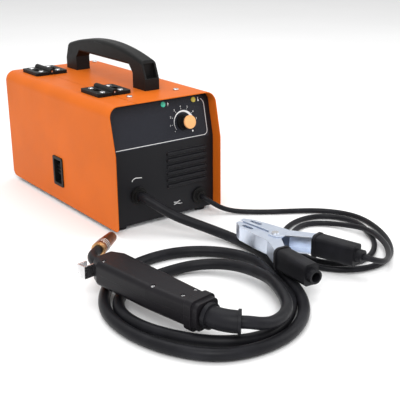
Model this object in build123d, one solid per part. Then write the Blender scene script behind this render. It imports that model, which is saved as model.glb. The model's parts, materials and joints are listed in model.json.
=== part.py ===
from build123d import *
import math
import os

# Flux-core mig welding machine: a folded steel case with a hinged side door, carry handle,
# wire spool and feeder inside, a torch on a coiled cable and an earth clamp on a second cable.
# Millimetres. +Z up, +Y to the back, the control panel faces -Y and the door is on the -X side.
# The parts are drawn about the centre of the case's footprint on the floor, and are written out
# with the origin moved to the centre of the front left foot's resting face.

os.makedirs("parts", exist_ok=True)

# ---------------------------------------------------------------- case
CASE_W = 160.0            # across X
CASE_D = 307.0            # along Y
CASE_BOTTOM = 5.0         # height of the case's lower edge above the floor
CASE_TOP = 162.0
SHEET = 1.2
CASE_CORNER_R = 14.0      # long top corners
FRONT_FOOT_R = 6.0        # lower front corner of the side walls
REAR_FOOT_R = 9.0
BEND_Z = 103.0            # height where the front starts to lean back
FRONT_SLANT = 13.0        # how far the top front edge is set back
PANEL_SETBACK = 15.0      # panel behind the wall's front edge
REAR_SETBACK = 10.0
SEAM_X = -40.0            # long seam between door and fixed cover
SEAM_GAP = 0.8
RUNNING_GAP = 0.6         # door to anything fixed

HALF_W = CASE_W / 2
FRONT_Y = -CASE_D / 2
REAR_Y = CASE_D / 2
PANEL_Y = FRONT_Y + PANEL_SETBACK
REAR_PANEL_Y = REAR_Y - REAR_SETBACK
FRAME_ORIGIN = (-62.0, -127.0)    # the front left foot, x and y
SLANT = math.atan2(FRONT_SLANT, CASE_TOP - BEND_Z)
INNER_TOP = CASE_TOP - SHEET
PARTITION_X = -14.0

# ---------------------------------------------------------------- door hardware
HINGE_AXIS = (-38.0, 0.0, 166.6)
HINGE_LENGTH = 48.0
HINGE_YS = (-64.0, 110.0)
HINGE_KNUCKLE_R = 4.2
HINGE_PIN_R = 1.5
LEAF_WIDTH = 22.0
LEAF_THICKNESS = 4.6
LATCH_Y = 1.0
LATCH_Z = 47.5
LATCH_WIDTH = 27.0
LATCH_HEIGHT = 41.0

# ---------------------------------------------------------------- handle
HANDLE_X = 17.0
HANDLE_WIDTH = 21.5
HANDLE_FRONT_Y = -89.5
HANDLE_REAR_Y = 126.5
HANDLE_TOP = 214.0
HANDLE_OPENING = (-59.0, 96.0)
HANDLE_OPENING_TOP = 191.0

# ---------------------------------------------------------------- front panel fittings
TORCH_GLAND = (-40.0, 42.6)     # x, z
EARTH_GLAND = (54.5, 23.0)
GLAND_R = 11.3
TORCH_CABLE_R = 6.2
EARTH_CABLE_R = 3.3
MAINS_CABLE_R = 3.6
CABLE_EASE = 0.45                 # room round a cable in the bores it passes through
CABLE_BEND_LENGTH = 24.0          # length of cable that one pair of arcs covers
EARTH_Z = EARTH_CABLE_R + 0.35     # the same for the earth cable
MAINS_Z = MAINS_CABLE_R + 0.75     # and the mains lead
FLOOR_Z = TORCH_CABLE_R + 0.25    # centre line of the torch cable lying on the floor
LOUVRE_COUNT = 6
LOUVRE_PITCH = 8.7
LOUVRE_TOP_Z = 89.0
LOUVRE_X = (3.0, 67.0)
KNOB = (34.5, 125.5)
KNOB_SKIRT_R = 10.6
KNOB_R = 8.9
LAMPS = ((7.0, 151.5), (54.0, 151.5))
LAMP_R = 3.4
LABEL = (-71.0, 72.0, 155.5)    # left x, right x, top z

# ---------------------------------------------------------------- rear panel fittings
FAN = (34.0, 78.0)
FAN_DEPTH = 25.0
SWITCH = (-48.0, 118.0)
ROCKER_TILT = 7.0
MAINS_GLAND = (-48.0, 30.0)

# ---------------------------------------------------------------- wire feed
WIRE_X = -40.0
WIRE_Z = 42.6
SPOOL_Y = 74.0
SPOOL_R = 50.0
SPOOL_WIDTH = 44.0
SPOOL_BORE_R = 8.0
COIL_R = 41.5
FEEDER_Y = -46.0
DRIVE_ROLL_R = 14.0
PRESSURE_ROLL_R = 11.0
ROLL_GAP = 0.9                  # wire diameter

# ---------------------------------------------------------------- torch and clamp
TORCH_REAR = Vector(-149.0, -431.0, 29.0)
TORCH_FRONT = Vector(-173.0, -282.0, 32.0)
BOOT_LENGTH = 34.0
BOOT_TURN = 40.0                # the soft boot bends towards the trigger side, degrees
HANDLE_HALF_THICK = 14.0
TORCH_BEND = 62.0
NECK_R = 5.6
NECK_BEND_R = 26.0
CLAMP_PIVOT = Vector(22.0, -331.0, 26.8)
CLAMP_HEADING = 95.0            # jaw direction, degrees from +X
CLAMP_HALF_HEIGHT = 10.5
CLAMP_PIN_R = 2.5

parts = {}


# ================================================================ helpers
def block(x0, x1, y0, y1, z0, z1):
    """A box between two opposite corners."""
    centre = Pos((x0 + x1) / 2, (y0 + y1) / 2, (z0 + z1) / 2)
    return centre * Box(x1 - x0, y1 - y0, z1 - z0)


def rod(start, end, radius):
    """A round bar between two points."""
    a, b = Vector(start), Vector(end)
    return extrude(Plane(origin=a, z_dir=b - a) * Circle(radius), (b - a).length)


def group(shapes):
    """Several separate solids kept in one node."""
    solids = []
    for shape in shapes:
        solids.extend(shape.solids())
    return Compound(solids)


def prism(points, plane, height):
    """A closed outline on a plane, pushed out along the plane's normal."""
    return extrude(plane * make_face(Polyline(*points, close=True)), height)


def tangent_arc(start, heading, end):
    """An arc that leaves start along heading and ends at end, or a line if that is straight ahead."""
    if (end - start).normalized().dot(heading) > 1 - 1e-10:
        return Line(start, end)
    return TangentArc(start, end, tangent=heading)


def arc_pair(start, start_heading, end, end_heading):
    """Two arcs that join smoothly and carry one place and heading to another."""
    chord = end - start
    lean = chord.dot(start_heading + end_heading)
    turn = 2 * (1 - start_heading.dot(end_heading))
    reach = chord.dot(chord) / (2 * lean)
    if turn > 1e-9:
        reach = (math.sqrt(lean ** 2 + turn * chord.dot(chord)) - lean) / turn
    start_arm = start + start_heading * reach
    end_arm = end - end_heading * reach
    middle = (start_arm + end_arm) * 0.5
    middle_heading = (end_arm - start_arm).normalized()
    return [tangent_arc(start, start_heading, middle), tangent_arc(middle, middle_heading, end)]


def cable(waypoints, radius):
    """A round cable: straight at both ends, and a chain of tangent arcs along its waypoints."""
    points = [Vector(point) for point in waypoints]
    first = (points[1] - points[0]).normalized()
    last = (points[-1] - points[-2]).normalized()
    curve = Spline(*points[1:-1], tangents=(first, last), tangent_scalars=(1, 1))
    bends = round(curve.length / CABLE_BEND_LENGTH)
    path = [Line(points[0], points[1])]
    for i in range(bends):
        here, there = i / bends, (i + 1) / bends
        path += arc_pair(curve @ here, curve % here, curve @ there, curve % there)
    path.append(Line(points[-2], points[-1]))
    return sweep(Plane(origin=points[0], z_dir=first) * Circle(radius), path=Wire(path))


def side_outline():
    """Outline of a side wall, drawn on the YZ plane as (y, z)."""
    outline = make_face(Polyline(
        (FRONT_Y, CASE_BOTTOM),
        (REAR_Y, CASE_BOTTOM),
        (REAR_Y, CASE_TOP),
        (FRONT_Y + FRONT_SLANT, CASE_TOP),
        (FRONT_Y, BEND_Z),
        close=True,
    ))
    low = outline.vertices().filter_by(lambda v: v.Y < CASE_BOTTOM + 1)
    outline = fillet(low.sort_by(Axis.X)[0], FRONT_FOOT_R)
    low = outline.vertices().filter_by(lambda v: v.Y < CASE_BOTTOM + 1)
    return fillet(low.sort_by(Axis.X)[-1], REAR_FOOT_R)


def arch(inset, y0, y1):
    """The case's cross-section, inset from its outer face, between two depths."""
    half = HALF_W - inset
    top = CASE_TOP - inset
    outline = make_face(Polyline(
        (-half, CASE_BOTTOM), (half, CASE_BOTTOM), (half, top), (-half, top), close=True))
    upper = outline.vertices().filter_by(lambda v: v.Y > top - 1)
    outline = fillet(upper, CASE_CORNER_R - inset)
    return extrude(Plane(origin=(0, y1, 0), x_dir=(1, 0, 0), z_dir=(0, -1, 0)) * outline, y1 - y0)


def panel_y(z):
    """Front face of the front panel at a height."""
    if z <= BEND_Z:
        return PANEL_Y
    return PANEL_Y + (z - BEND_Z) * math.tan(SLANT)


def panel_frame(x, z):
    """Plane on the panel's front face, its normal pointing out of the machine."""
    normal = (0, -1, 0)
    if z > BEND_Z:
        normal = (0, -math.cos(SLANT), math.sin(SLANT))
    return Plane(origin=(x, panel_y(z), z), x_dir=(1, 0, 0), z_dir=normal)


def round_top(shape, frame, radius):
    """Round the outermost circular edge of a turned shape along its frame's normal."""
    circles = shape.edges().filter_by(GeomType.CIRCLE)
    return fillet(circles.sort_by(Axis(frame.origin, frame.z_dir))[-1], radius)


def pan_head(frame, head_r=3.8, head_h=2.2, shank_r=2.0, length=8.0):
    """A pan-head screw with a cross recess; the frame's normal points out of the head."""
    head = round_top(extrude(frame * Circle(head_r), head_h), frame, head_h * 0.45)
    shank = extrude(frame * Circle(shank_r), -length)
    top = Plane(origin=frame.origin + frame.z_dir * head_h, x_dir=frame.x_dir, z_dir=frame.z_dir)
    cross = Rectangle(head_r * 1.2, 0.8) + Rectangle(0.8, head_r * 1.2)
    return head + shank - extrude(top * cross, -head_h * 0.6)


def screw_hole(frame, shank_r=2.0, length=8.0):
    """The hole that takes a pan-head screw's shank."""
    return extrude(frame * Circle(shank_r), -length)


# ================================================================ case
def shell_piece():
    """The folded skin over top and both sides, before it is cut at the seam."""
    skin = arch(0, FRONT_Y, REAR_Y) - arch(SHEET, FRONT_Y - 1, REAR_Y + 1)
    skin -= block(-HALF_W + SHEET, HALF_W - SHEET, FRONT_Y, REAR_Y, CASE_BOTTOM - 1, CASE_BOTTOM + 1)
    wall = extrude(Plane.YZ.offset(-HALF_W - 1) * side_outline(), CASE_W + 2)
    return skin & wall


TOP_SCREWS = [
    Plane(origin=(-29.0, -107.5, CASE_TOP), x_dir=(1, 0, 0), z_dir=(0, 0, 1)),
    Plane(origin=(41.5, -107.5, CASE_TOP), x_dir=(1, 0, 0), z_dir=(0, 0, 1)),
    Plane(origin=(-29.0, 139.5, CASE_TOP), x_dir=(1, 0, 0), z_dir=(0, 0, 1)),
    Plane(origin=(60.0, 139.5, CASE_TOP), x_dir=(1, 0, 0), z_dir=(0, 0, 1)),
]
SIDE_SCREWS = [
    Plane(origin=(HALF_W, y, 13.0), x_dir=(0, 1, 0), z_dir=(1, 0, 0)) for y in (-110.0, 0.0, 110.0)
]
HANDLE_SCREWS = [
    Plane(origin=(HANDLE_X, y, INNER_TOP), x_dir=(1, 0, 0), z_dir=(0, 0, -1))
    for y in (-82.0, -67.0, 104.0, 119.0)
]
HINGE_SCREW_X = 13.0
FOOT_PLACES = [(x, y) for x in (-62.0, 62.0) for y in (-127.0, 120.0)]


def hinge_screws(side):
    """Screw frames on the leaves of both hinges, on the door (-1) or the cover (+1)."""
    frames = []
    for hinge_y in HINGE_YS:
        for dy in (-15.0, 15.0):
            frames.append(Plane(
                origin=(HINGE_AXIS[0] + side * HINGE_SCREW_X, hinge_y + dy, CASE_TOP + 3.4),
                x_dir=(1, 0, 0), z_dir=(0, 0, 1)))
    return frames


skin = shell_piece()
right_side = block(SEAM_X + SEAM_GAP / 2, HALF_W + 1, FRONT_Y - 1, REAR_Y + 1, 0, CASE_TOP + 1)
left_side = block(-HALF_W - 1, SEAM_X - SEAM_GAP / 2, FRONT_Y - 1, REAR_Y + 1, 0, CASE_TOP + 1)
top_cover = skin & right_side
side_door = skin & left_side

for frame in TOP_SCREWS:
    top_cover -= screw_hole(frame)
for frame in SIDE_SCREWS:
    top_cover -= screw_hole(frame)
for frame in HANDLE_SCREWS:
    top_cover -= extrude(frame * Circle(2.0), -SHEET)
for frame in hinge_screws(1):
    top_cover -= screw_hole(frame)

# The door wall is cut out for the latch.
latch_cut = block(-HALF_W - 1, -HALF_W + SHEET + 1,
                  LATCH_Y - LATCH_WIDTH / 2 + 2, LATCH_Y + LATCH_WIDTH / 2 - 2,
                  LATCH_Z - LATCH_HEIGHT / 2 + 2, LATCH_Z + LATCH_HEIGHT / 2 - 2)
side_door -= latch_cut
for frame in hinge_screws(-1):
    side_door -= screw_hole(frame)
parts["side_door"] = side_door

# Base pan: floor sheet, side flanges, and the latch keeper standing on its left edge.
PAN_FRONT = PANEL_Y + SHEET
PAN_REAR = REAR_PANEL_Y - SHEET
PAN_LEFT = -HALF_W + SHEET + RUNNING_GAP
PAN_RIGHT = HALF_W - SHEET
KEEPER_X = -66.0
KEEPER_TOP = 33.0
base_pan = block(PAN_LEFT, PAN_RIGHT, PAN_FRONT, PAN_REAR, CASE_BOTTOM, CASE_BOTTOM + SHEET)
base_pan += block(PAN_LEFT, PAN_LEFT + SHEET, PAN_FRONT, PAN_REAR, CASE_BOTTOM, 17.0)
base_pan += block(PAN_RIGHT - SHEET, PAN_RIGHT, PAN_FRONT, PAN_REAR, CASE_BOTTOM, 20.0)
base_pan += block(PAN_LEFT, KEEPER_X + SHEET, LATCH_Y - 14, LATCH_Y + 14, 17.0 - SHEET, 17.0)
base_pan += block(KEEPER_X, KEEPER_X + SHEET, LATCH_Y - 14, LATCH_Y + 14, 17.0 - SHEET, KEEPER_TOP)
for frame in SIDE_SCREWS:
    base_pan -= screw_hole(frame)
for x, y in FOOT_PLACES:
    base_pan -= rod((x, y, 0), (x, y, 10), 2.0)
# A row of air slots under the transformer.
for i in range(6):
    slot = Pos(30, -10 + i * 12, CASE_BOTTOM) * SlotOverall(46, 4)
    base_pan -= extrude(slot, SHEET * 2)

# Front panel: lower face upright, upper face leaning back, flanges top and bottom.
PANEL_HALF = HALF_W - SHEET - RUNNING_GAP
TOP_FLANGE_Y = -92.0
TOP_EDGE_X = (-36.0, HALF_W - CASE_CORNER_R - 0.5)    # where both panels reach up to the cover
panel_side = [
    (PANEL_Y, CASE_BOTTOM),
    (PANEL_Y + SHEET, CASE_BOTTOM),
    (PANEL_Y + SHEET, BEND_Z),
    (panel_y(INNER_TOP) + SHEET, INNER_TOP),
    (panel_y(INNER_TOP), INNER_TOP),
    (PANEL_Y, BEND_Z),
]
front_panel = prism(panel_side, Plane.YZ.offset(-PANEL_HALF), 2 * PANEL_HALF)
front_panel &= arch(SHEET + RUNNING_GAP, FRONT_Y, 0) + block(*TOP_EDGE_X, FRONT_Y, 0, 100, INNER_TOP)
front_panel += block(*TOP_EDGE_X, panel_y(INNER_TOP), TOP_FLANGE_Y, INNER_TOP - SHEET, INNER_TOP)
front_panel += block(-70, 74, PANEL_Y, PANEL_Y + 14, CASE_BOTTOM + SHEET, CASE_BOTTOM + 2 * SHEET)


def louvre(z):
    """A pressed hood over a slot; its left end is a rounded hook and it opens downwards."""
    length = LOUVRE_X[1] - LOUVRE_X[0]
    middle = (LOUVRE_X[0] + LOUVRE_X[1]) / 2
    face = Plane(origin=(middle, PANEL_Y, z), x_dir=(1, 0, 0), z_dir=(0, -1, 0))
    hood = extrude(face * SlotOverall(length, 6.0), 3.0, taper=24)
    hollow = extrude(face.offset(-SHEET) * SlotOverall(length - 2.4, 3.8), 3.0, taper=12)
    hollow += extrude(face.offset(-SHEET) * (Pos(0, -1.9) * SlotOverall(length - 6, 2.0)), 3.4)
    return hood, hollow


for i in range(LOUVRE_COUNT):
    hood, hollow = louvre(LOUVRE_TOP_Z - i * LOUVRE_PITCH)
    front_panel = front_panel + hood - hollow

for (x, z), hole in ((TORCH_GLAND, 8.0), (EARTH_GLAND, 6.0)):
    front_panel -= rod((x, PANEL_Y - 2, z), (x, PANEL_Y + 4, z), hole)
pot_frame = panel_frame(*KNOB)
front_panel -= extrude(pot_frame.offset(1) * Circle(4.5), -5)
for x, z in LAMPS:
    front_panel -= extrude(panel_frame(x, z).offset(1) * Circle(LAMP_R - 0.9), -5)
for frame in TOP_SCREWS[:2]:
    front_panel -= screw_hole(frame)
for x, y in FOOT_PLACES:
    front_panel -= rod((x, y, 0), (x, y, 10), 2.0)

# Printed control label on the leaning face.
label_height = (LABEL[2] - BEND_Z) / math.cos(SLANT)
label_width = LABEL[1] - LABEL[0]
label_frame = panel_frame((LABEL[0] + LABEL[1]) / 2, BEND_Z + 0.01)
label_outline = Pos(0, label_height / 2) * Rectangle(label_width, label_height)
label_outline = fillet(label_outline.vertices().filter_by(lambda v: v.Y > 1), 9.0)
control_label = extrude(label_frame * label_outline, 0.4)
control_label -= extrude(pot_frame.offset(1) * Circle(4.5), -5)
for x, z in LAMPS:
    control_label -= extrude(panel_frame(x, z).offset(1) * Circle(LAMP_R - 0.9), -5)
parts["control_label"] = control_label

# Rear panel with fan grille, switch and lead openings.
rear_face = REAR_PANEL_Y
rear_panel = arch(SHEET + RUNNING_GAP, rear_face - SHEET, rear_face)
rear_panel += block(*TOP_EDGE_X, rear_face - SHEET, rear_face, 100, INNER_TOP)
rear_panel += block(*TOP_EDGE_X, rear_face - 16, rear_face, INNER_TOP - SHEET, INNER_TOP)
for ring_r in (11.0, 18.0, 25.0, 32.0):
    ring = Circle(ring_r + 2.2) - Circle(ring_r - 2.2)
    ring -= Rectangle(80, 3.0) + Rectangle(3.0, 80)
    grille = Plane(origin=(FAN[0], rear_face, FAN[1]), x_dir=(1, 0, 0), z_dir=(0, -1, 0))
    rear_panel -= extrude(grille.offset(-1) * ring, 4)
rear_panel -= block(SWITCH[0] - 9.5, SWITCH[0] + 9.5, rear_face - 3, rear_face + 3,
                    SWITCH[1] - 13.5, SWITCH[1] + 13.5)
rear_panel -= rod((MAINS_GLAND[0], rear_face - 3, MAINS_GLAND[1]),
                  (MAINS_GLAND[0], rear_face + 3, MAINS_GLAND[1]), 5.5)
for frame in TOP_SCREWS[2:]:
    rear_panel -= screw_hole(frame)
FAN_SCREWS = []
for dx in (-35.8, 35.8):
    for dz in (-35.8, 35.8):
        FAN_SCREWS.append(Plane(origin=(FAN[0] + dx, rear_face, FAN[1] + dz),
                                x_dir=(1, 0, 0), z_dir=(0, 1, 0)))
for frame in FAN_SCREWS:
    rear_panel -= screw_hole(frame, 1.6, 12)
parts["rear_panel"] = rear_panel

# Partition between the wire compartment and the electronics.
partition = block(PARTITION_X, PARTITION_X + SHEET, PANEL_Y + SHEET + 1, PAN_REAR - 1,
                  CASE_BOTTOM + SHEET, INNER_TOP - SHEET - 0.2)
partition &= arch(SHEET + RUNNING_GAP, FRONT_Y, REAR_Y)
slope = [(PANEL_Y, BEND_Z), (panel_y(CASE_TOP) + SHEET + 1, CASE_TOP), (PANEL_Y, CASE_TOP)]
partition -= prism([(y + SHEET + 1, z) for y, z in slope], Plane.YZ.offset(PARTITION_X - 1), 4)
partition += block(PARTITION_X, PARTITION_X + 8, PAN_FRONT + 20, PAN_REAR - 10,
                   CASE_BOTTOM + SHEET, CASE_BOTTOM + 2 * SHEET)
partition -= block(PARTITION_X - 1, PARTITION_X + 10, PANEL_Y, PANEL_Y + 14.5,
                   CASE_BOTTOM, CASE_BOTTOM + 2 * SHEET + 0.3)
parts["front_panel"] = front_panel

# Feet: turned rubber buttons, each held by one screw from below.
foot_profile = [(2.0, 0.6), (4.4, 0.6), (4.4, 0.0), (8.0, 0.0), (9.0, CASE_BOTTOM), (2.0, CASE_BOTTOM)]
foot = revolve(Plane.XZ * make_face(Polyline(*foot_profile, close=True)), Axis.Z)
recess = Pos(0, 0, 0) * extrude(Circle(4.4), 2.8)
foot = foot - recess
parts["rubber_feet"] = group([Pos(x, y, 0) * foot for x, y in FOOT_PLACES])
foot_frames = [Plane(origin=(x, y, 2.8), x_dir=(1, 0, 0), z_dir=(0, 0, -1)) for x, y in FOOT_PLACES]


# ================================================================ door hinges
AXIS_X, _, AXIS_Z = HINGE_AXIS
KNUCKLE_SPLIT = HINGE_LENGTH / 4


def hinge_leaf(hinge_y, side, spans):
    """One moulded leaf with its knuckles; spans are the knuckles' y ranges from the middle."""
    inner = AXIS_X + side * (HINGE_KNUCKLE_R + 0.5)
    outer = AXIS_X + side * (LEAF_WIDTH + 2.0)
    low, high = sorted((inner, outer))
    leaf = block(low, high, hinge_y - HINGE_LENGTH / 2, hinge_y + HINGE_LENGTH / 2,
                 CASE_TOP, CASE_TOP + LEAF_THICKNESS)
    upright = leaf.edges().filter_by(Axis.Z).sort_by(Axis.X)
    corners = upright[-2:] if side > 0 else upright[:2]
    leaf = fillet(corners, 3.0)
    for dy in (-15.0, 15.0):
        seat = rod((AXIS_X + side * HINGE_SCREW_X, hinge_y + dy, CASE_TOP + 3.4),
                   (AXIS_X + side * HINGE_SCREW_X, hinge_y + dy, CASE_TOP + 9), 4.4)
        hole = rod((AXIS_X + side * HINGE_SCREW_X, hinge_y + dy, CASE_TOP - 1),
                   (AXIS_X + side * HINGE_SCREW_X, hinge_y + dy, CASE_TOP + 9), 2.0)
        leaf = leaf - seat - hole
    # Two pockets mould the leaf thin between its screws.
    pocket_x = sorted((AXIS_X + side * 9.0, AXIS_X + side * 17.0))
    leaf -= block(pocket_x[0], pocket_x[1], hinge_y - 6.5, hinge_y + 6.5, CASE_TOP + 2.4, CASE_TOP + 9)
    for y0, y1 in spans:
        barrel = rod((AXIS_X, hinge_y + y0, AXIS_Z), (AXIS_X, hinge_y + y1, AXIS_Z), HINGE_KNUCKLE_R)
        low, high = sorted((AXIS_X, AXIS_X + side * (HINGE_KNUCKLE_R + 1.5)))
        web = block(low, high, hinge_y + y0, hinge_y + y1, AXIS_Z - HINGE_KNUCKLE_R + 1.4, AXIS_Z)
        leaf = leaf + barrel + web
    bore = HINGE_PIN_R + (0.0 if side > 0 else 0.05)
    return leaf - rod((AXIS_X, hinge_y - 30, AXIS_Z), (AXIS_X, hinge_y + 30, AXIS_Z), bore)


END = HINGE_LENGTH / 2
outer_spans = [(-END, -KNUCKLE_SPLIT), (KNUCKLE_SPLIT, END)]
inner_span = [(-KNUCKLE_SPLIT + 0.3, KNUCKLE_SPLIT - 0.3)]
parts["hinge_leaves_fixed"] = group([hinge_leaf(y, 1, outer_spans) for y in HINGE_YS])
parts["hinge_leaves_door"] = group([hinge_leaf(y, -1, inner_span) for y in HINGE_YS])
parts["hinge_pins"] = group([
    rod((AXIS_X, y - END + 1, AXIS_Z), (AXIS_X, y + END - 1, AXIS_Z), HINGE_PIN_R) for y in HINGE_YS])

# ================================================================ door latch
latch_outer = block(-HALF_W - 1.6, -HALF_W, LATCH_Y - LATCH_WIDTH / 2, LATCH_Y + LATCH_WIDTH / 2,
                    LATCH_Z - LATCH_HEIGHT / 2, LATCH_Z + LATCH_HEIGHT / 2)
latch_outer = fillet(latch_outer.edges().filter_by(Axis.X), 2.5)
cup = block(-HALF_W, -HALF_W + 9.0, LATCH_Y - LATCH_WIDTH / 2 + 2, LATCH_Y + LATCH_WIDTH / 2 - 2,
            LATCH_Z - LATCH_HEIGHT / 2 + 2, LATCH_Z + LATCH_HEIGHT / 2 - 2)
recess = block(-HALF_W - 2, -HALF_W + 7.4, LATCH_Y - LATCH_WIDTH / 2 + 4, LATCH_Y + LATCH_WIDTH / 2 - 4,
               LATCH_Z - LATCH_HEIGHT / 2 + 4, LATCH_Z + LATCH_HEIGHT / 2 - 4)
SLOT_HALF = 4.0
slot = block(-HALF_W + 7, -HALF_W + 10, LATCH_Y - SLOT_HALF, LATCH_Y + SLOT_HALF,
             LATCH_Z - 14.0, LATCH_Z + 12.0)
parts["latch_bezel"] = latch_outer + cup - recess - slot

# The slider sits in the recess with a finger ridge, passes through the slot and carries the
# bolt plate that drops behind the keeper when it is pushed down.
SLIDER_FRONT = -HALF_W + 1.5
BOLT_X = KEEPER_X + SHEET + 0.6
slider = block(SLIDER_FRONT + 2.5, -HALF_W + 7.2, LATCH_Y - 8.0, LATCH_Y + 8.0,
               LATCH_Z - 6.0, LATCH_Z + 10.0)
for i in range(3):
    slider += block(SLIDER_FRONT + 1.0, SLIDER_FRONT + 3.0, LATCH_Y - 8.0, LATCH_Y + 8.0,
                    LATCH_Z - 4.5 + i * 5.0, LATCH_Z - 2.5 + i * 5.0)
slider += block(-HALF_W + 7.0, BOLT_X + 1.0, LATCH_Y - SLOT_HALF + 0.3, LATCH_Y + SLOT_HALF - 0.3,
                LATCH_Z - 4.0, LATCH_Z + 8.0)
slider += block(BOLT_X, BOLT_X + 2.0, LATCH_Y - 9.0, LATCH_Y + 9.0, KEEPER_TOP + 1.0, LATCH_Z + 8.0)
parts["latch_slider"] = slider

# ================================================================ carry handle
HANDLE_BASE_Z = CASE_TOP
arc_ends = 200.0
handle_side = [
    (HANDLE_FRONT_Y, HANDLE_BASE_Z),
    (HANDLE_FRONT_Y, 177.0),
    (HANDLE_FRONT_Y + 9.0, arc_ends),
]
outline = Polyline(*handle_side)
crown = ThreePointArc(
    (HANDLE_FRONT_Y + 9.0, arc_ends),
    ((HANDLE_FRONT_Y + HANDLE_REAR_Y) / 2, HANDLE_TOP),
    (HANDLE_REAR_Y - 9.0, arc_ends))
rear_leg = Polyline(
    (HANDLE_REAR_Y - 9.0, arc_ends),
    (HANDLE_REAR_Y, 177.0),
    (HANDLE_REAR_Y, HANDLE_BASE_Z),
    (HANDLE_FRONT_Y, HANDLE_BASE_Z))
handle_face = make_face([*outline.edges(), crown.edge(), *rear_leg.edges()])
open_front, open_rear = HANDLE_OPENING
opening = make_face(Polyline(
    (open_front, HANDLE_BASE_Z - 1),
    (open_front, HANDLE_OPENING_TOP - 9),
    (open_front + 8, HANDLE_OPENING_TOP),
    (open_rear - 8, HANDLE_OPENING_TOP),
    (open_rear, HANDLE_OPENING_TOP - 9),
    (open_rear, HANDLE_BASE_Z - 1),
    close=True))
handle_plane = Plane.YZ.offset(HANDLE_X - HANDLE_WIDTH / 2)
carry_handle = extrude(handle_plane * (handle_face - opening), HANDLE_WIDTH)
shoulder = carry_handle.edges().filter_by(
    lambda e: e.center().Z > 196 and abs(abs(e.center().X - HANDLE_X) - HANDLE_WIDTH / 2) < 0.1)
carry_handle = fillet(shoulder, 5.0)
inner = carry_handle.edges().filter_by(
    lambda e: (open_front + 9 < e.center().Y < open_rear - 9
               and abs(e.center().Z - HANDLE_OPENING_TOP) < 0.1))
carry_handle = fillet(inner, 3.0)
# A shallow pocket relieves the outer face of each leg.
for y0, y1 in ((HANDLE_FRONT_Y - 1, HANDLE_FRONT_Y + 11), (HANDLE_REAR_Y - 11, HANDLE_REAR_Y + 1)):
    carry_handle -= block(HANDLE_X - 8, HANDLE_X + 8, y0, y1, 177.5, 196.0)
for frame in HANDLE_SCREWS:
    start = frame.origin
    carry_handle -= rod(start, start + Vector(0, 0, 9), 2.0)
parts["carry_handle"] = carry_handle

# ================================================================ front fittings
def front_gland(place, bore_r, panel_hole, length):
    """A gland on the front panel's lower face."""
    face = Plane(origin=(place[0], PANEL_Y, place[1]), x_dir=(1, 0, 0), z_dir=(0, -1, 0))
    gland = extrude(face * Circle(GLAND_R), 3.0)
    gland += extrude(face.offset(3.0) * Circle(panel_hole + 1.0), length, taper=5)
    gland += extrude(face * Circle(panel_hole), -6.0)
    gland += extrude(face.offset(-SHEET) * RegularPolygon(panel_hole + 4.5, 6), -4.0)
    return gland - extrude(face.offset(-7) * Circle(bore_r), length + 12)


torch_gland = front_gland(TORCH_GLAND, TORCH_CABLE_R + CABLE_EASE, 8.0, 4.0)
earth_gland = front_gland(EARTH_GLAND, EARTH_CABLE_R + CABLE_EASE, 6.0, 4.0)

# Wire-feed control: potentiometer behind the panel, its shaft, and the knob on the shaft.
bush = extrude(pot_frame * Circle(4.5), -6.0) + extrude(pot_frame.offset(0.4) * Circle(4.5), -0.4)
pot = extrude(pot_frame.offset(-SHEET) * Circle(8.5), -11.0) + bush
pot -= extrude(pot_frame.offset(1) * Circle(3.05), -20)
parts["potentiometer"] = pot
KNOB_BASE = 0.9
KNOB_BODY_TOP = 14.0
KNOB_TOP = 16.8
shaft = extrude(pot_frame.offset(-10) * Circle(3.0), 10 + KNOB_BODY_TOP - 3)
knob = extrude(pot_frame.offset(KNOB_BASE) * Circle(KNOB_SKIRT_R), 3.2, taper=8)
knob += extrude(pot_frame.offset(KNOB_BASE) * Circle(KNOB_R), KNOB_BODY_TOP - KNOB_BASE)
flute_count = 24
for i in range(flute_count):
    angle = 2 * math.pi * i / flute_count
    place = Pos((KNOB_R + 0.35) * math.cos(angle), (KNOB_R + 0.35) * math.sin(angle))
    knob -= extrude(pot_frame.offset(KNOB_BASE + 3.4) * (place * Circle(0.75)), KNOB_BODY_TOP)
knob -= shaft
parts["knob"] = group([knob, shaft])
cap = extrude(pot_frame.offset(KNOB_BODY_TOP) * Circle(KNOB_R - 0.2), KNOB_TOP - KNOB_BODY_TOP)
cap = round_top(cap, pot_frame, 1.2)
pointer = pot_frame.offset(KNOB_TOP) * (Pos(0, KNOB_R * 0.55) * Rectangle(1.2, KNOB_R * 0.8))
cap -= extrude(pointer, -0.5)
parts["knob_cap"] = cap


def lamp(x, z):
    """A panel lamp: domed lens in a thin rim, body behind the panel."""
    frame = panel_frame(x, z)
    lens = extrude(frame.offset(0.4) * Circle(LAMP_R), 0.9)
    lens += frame.offset(1.3) * Pos(0, 0, -4.2) * Sphere(5.2) & extrude(
        frame.offset(0.5) * Circle(LAMP_R - 0.6), 3)
    lens += extrude(frame.offset(0.4) * Circle(LAMP_R - 0.9), -9.0)
    return lens


parts["panel_lamps"] = group([lamp(*place) for place in LAMPS])

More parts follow.
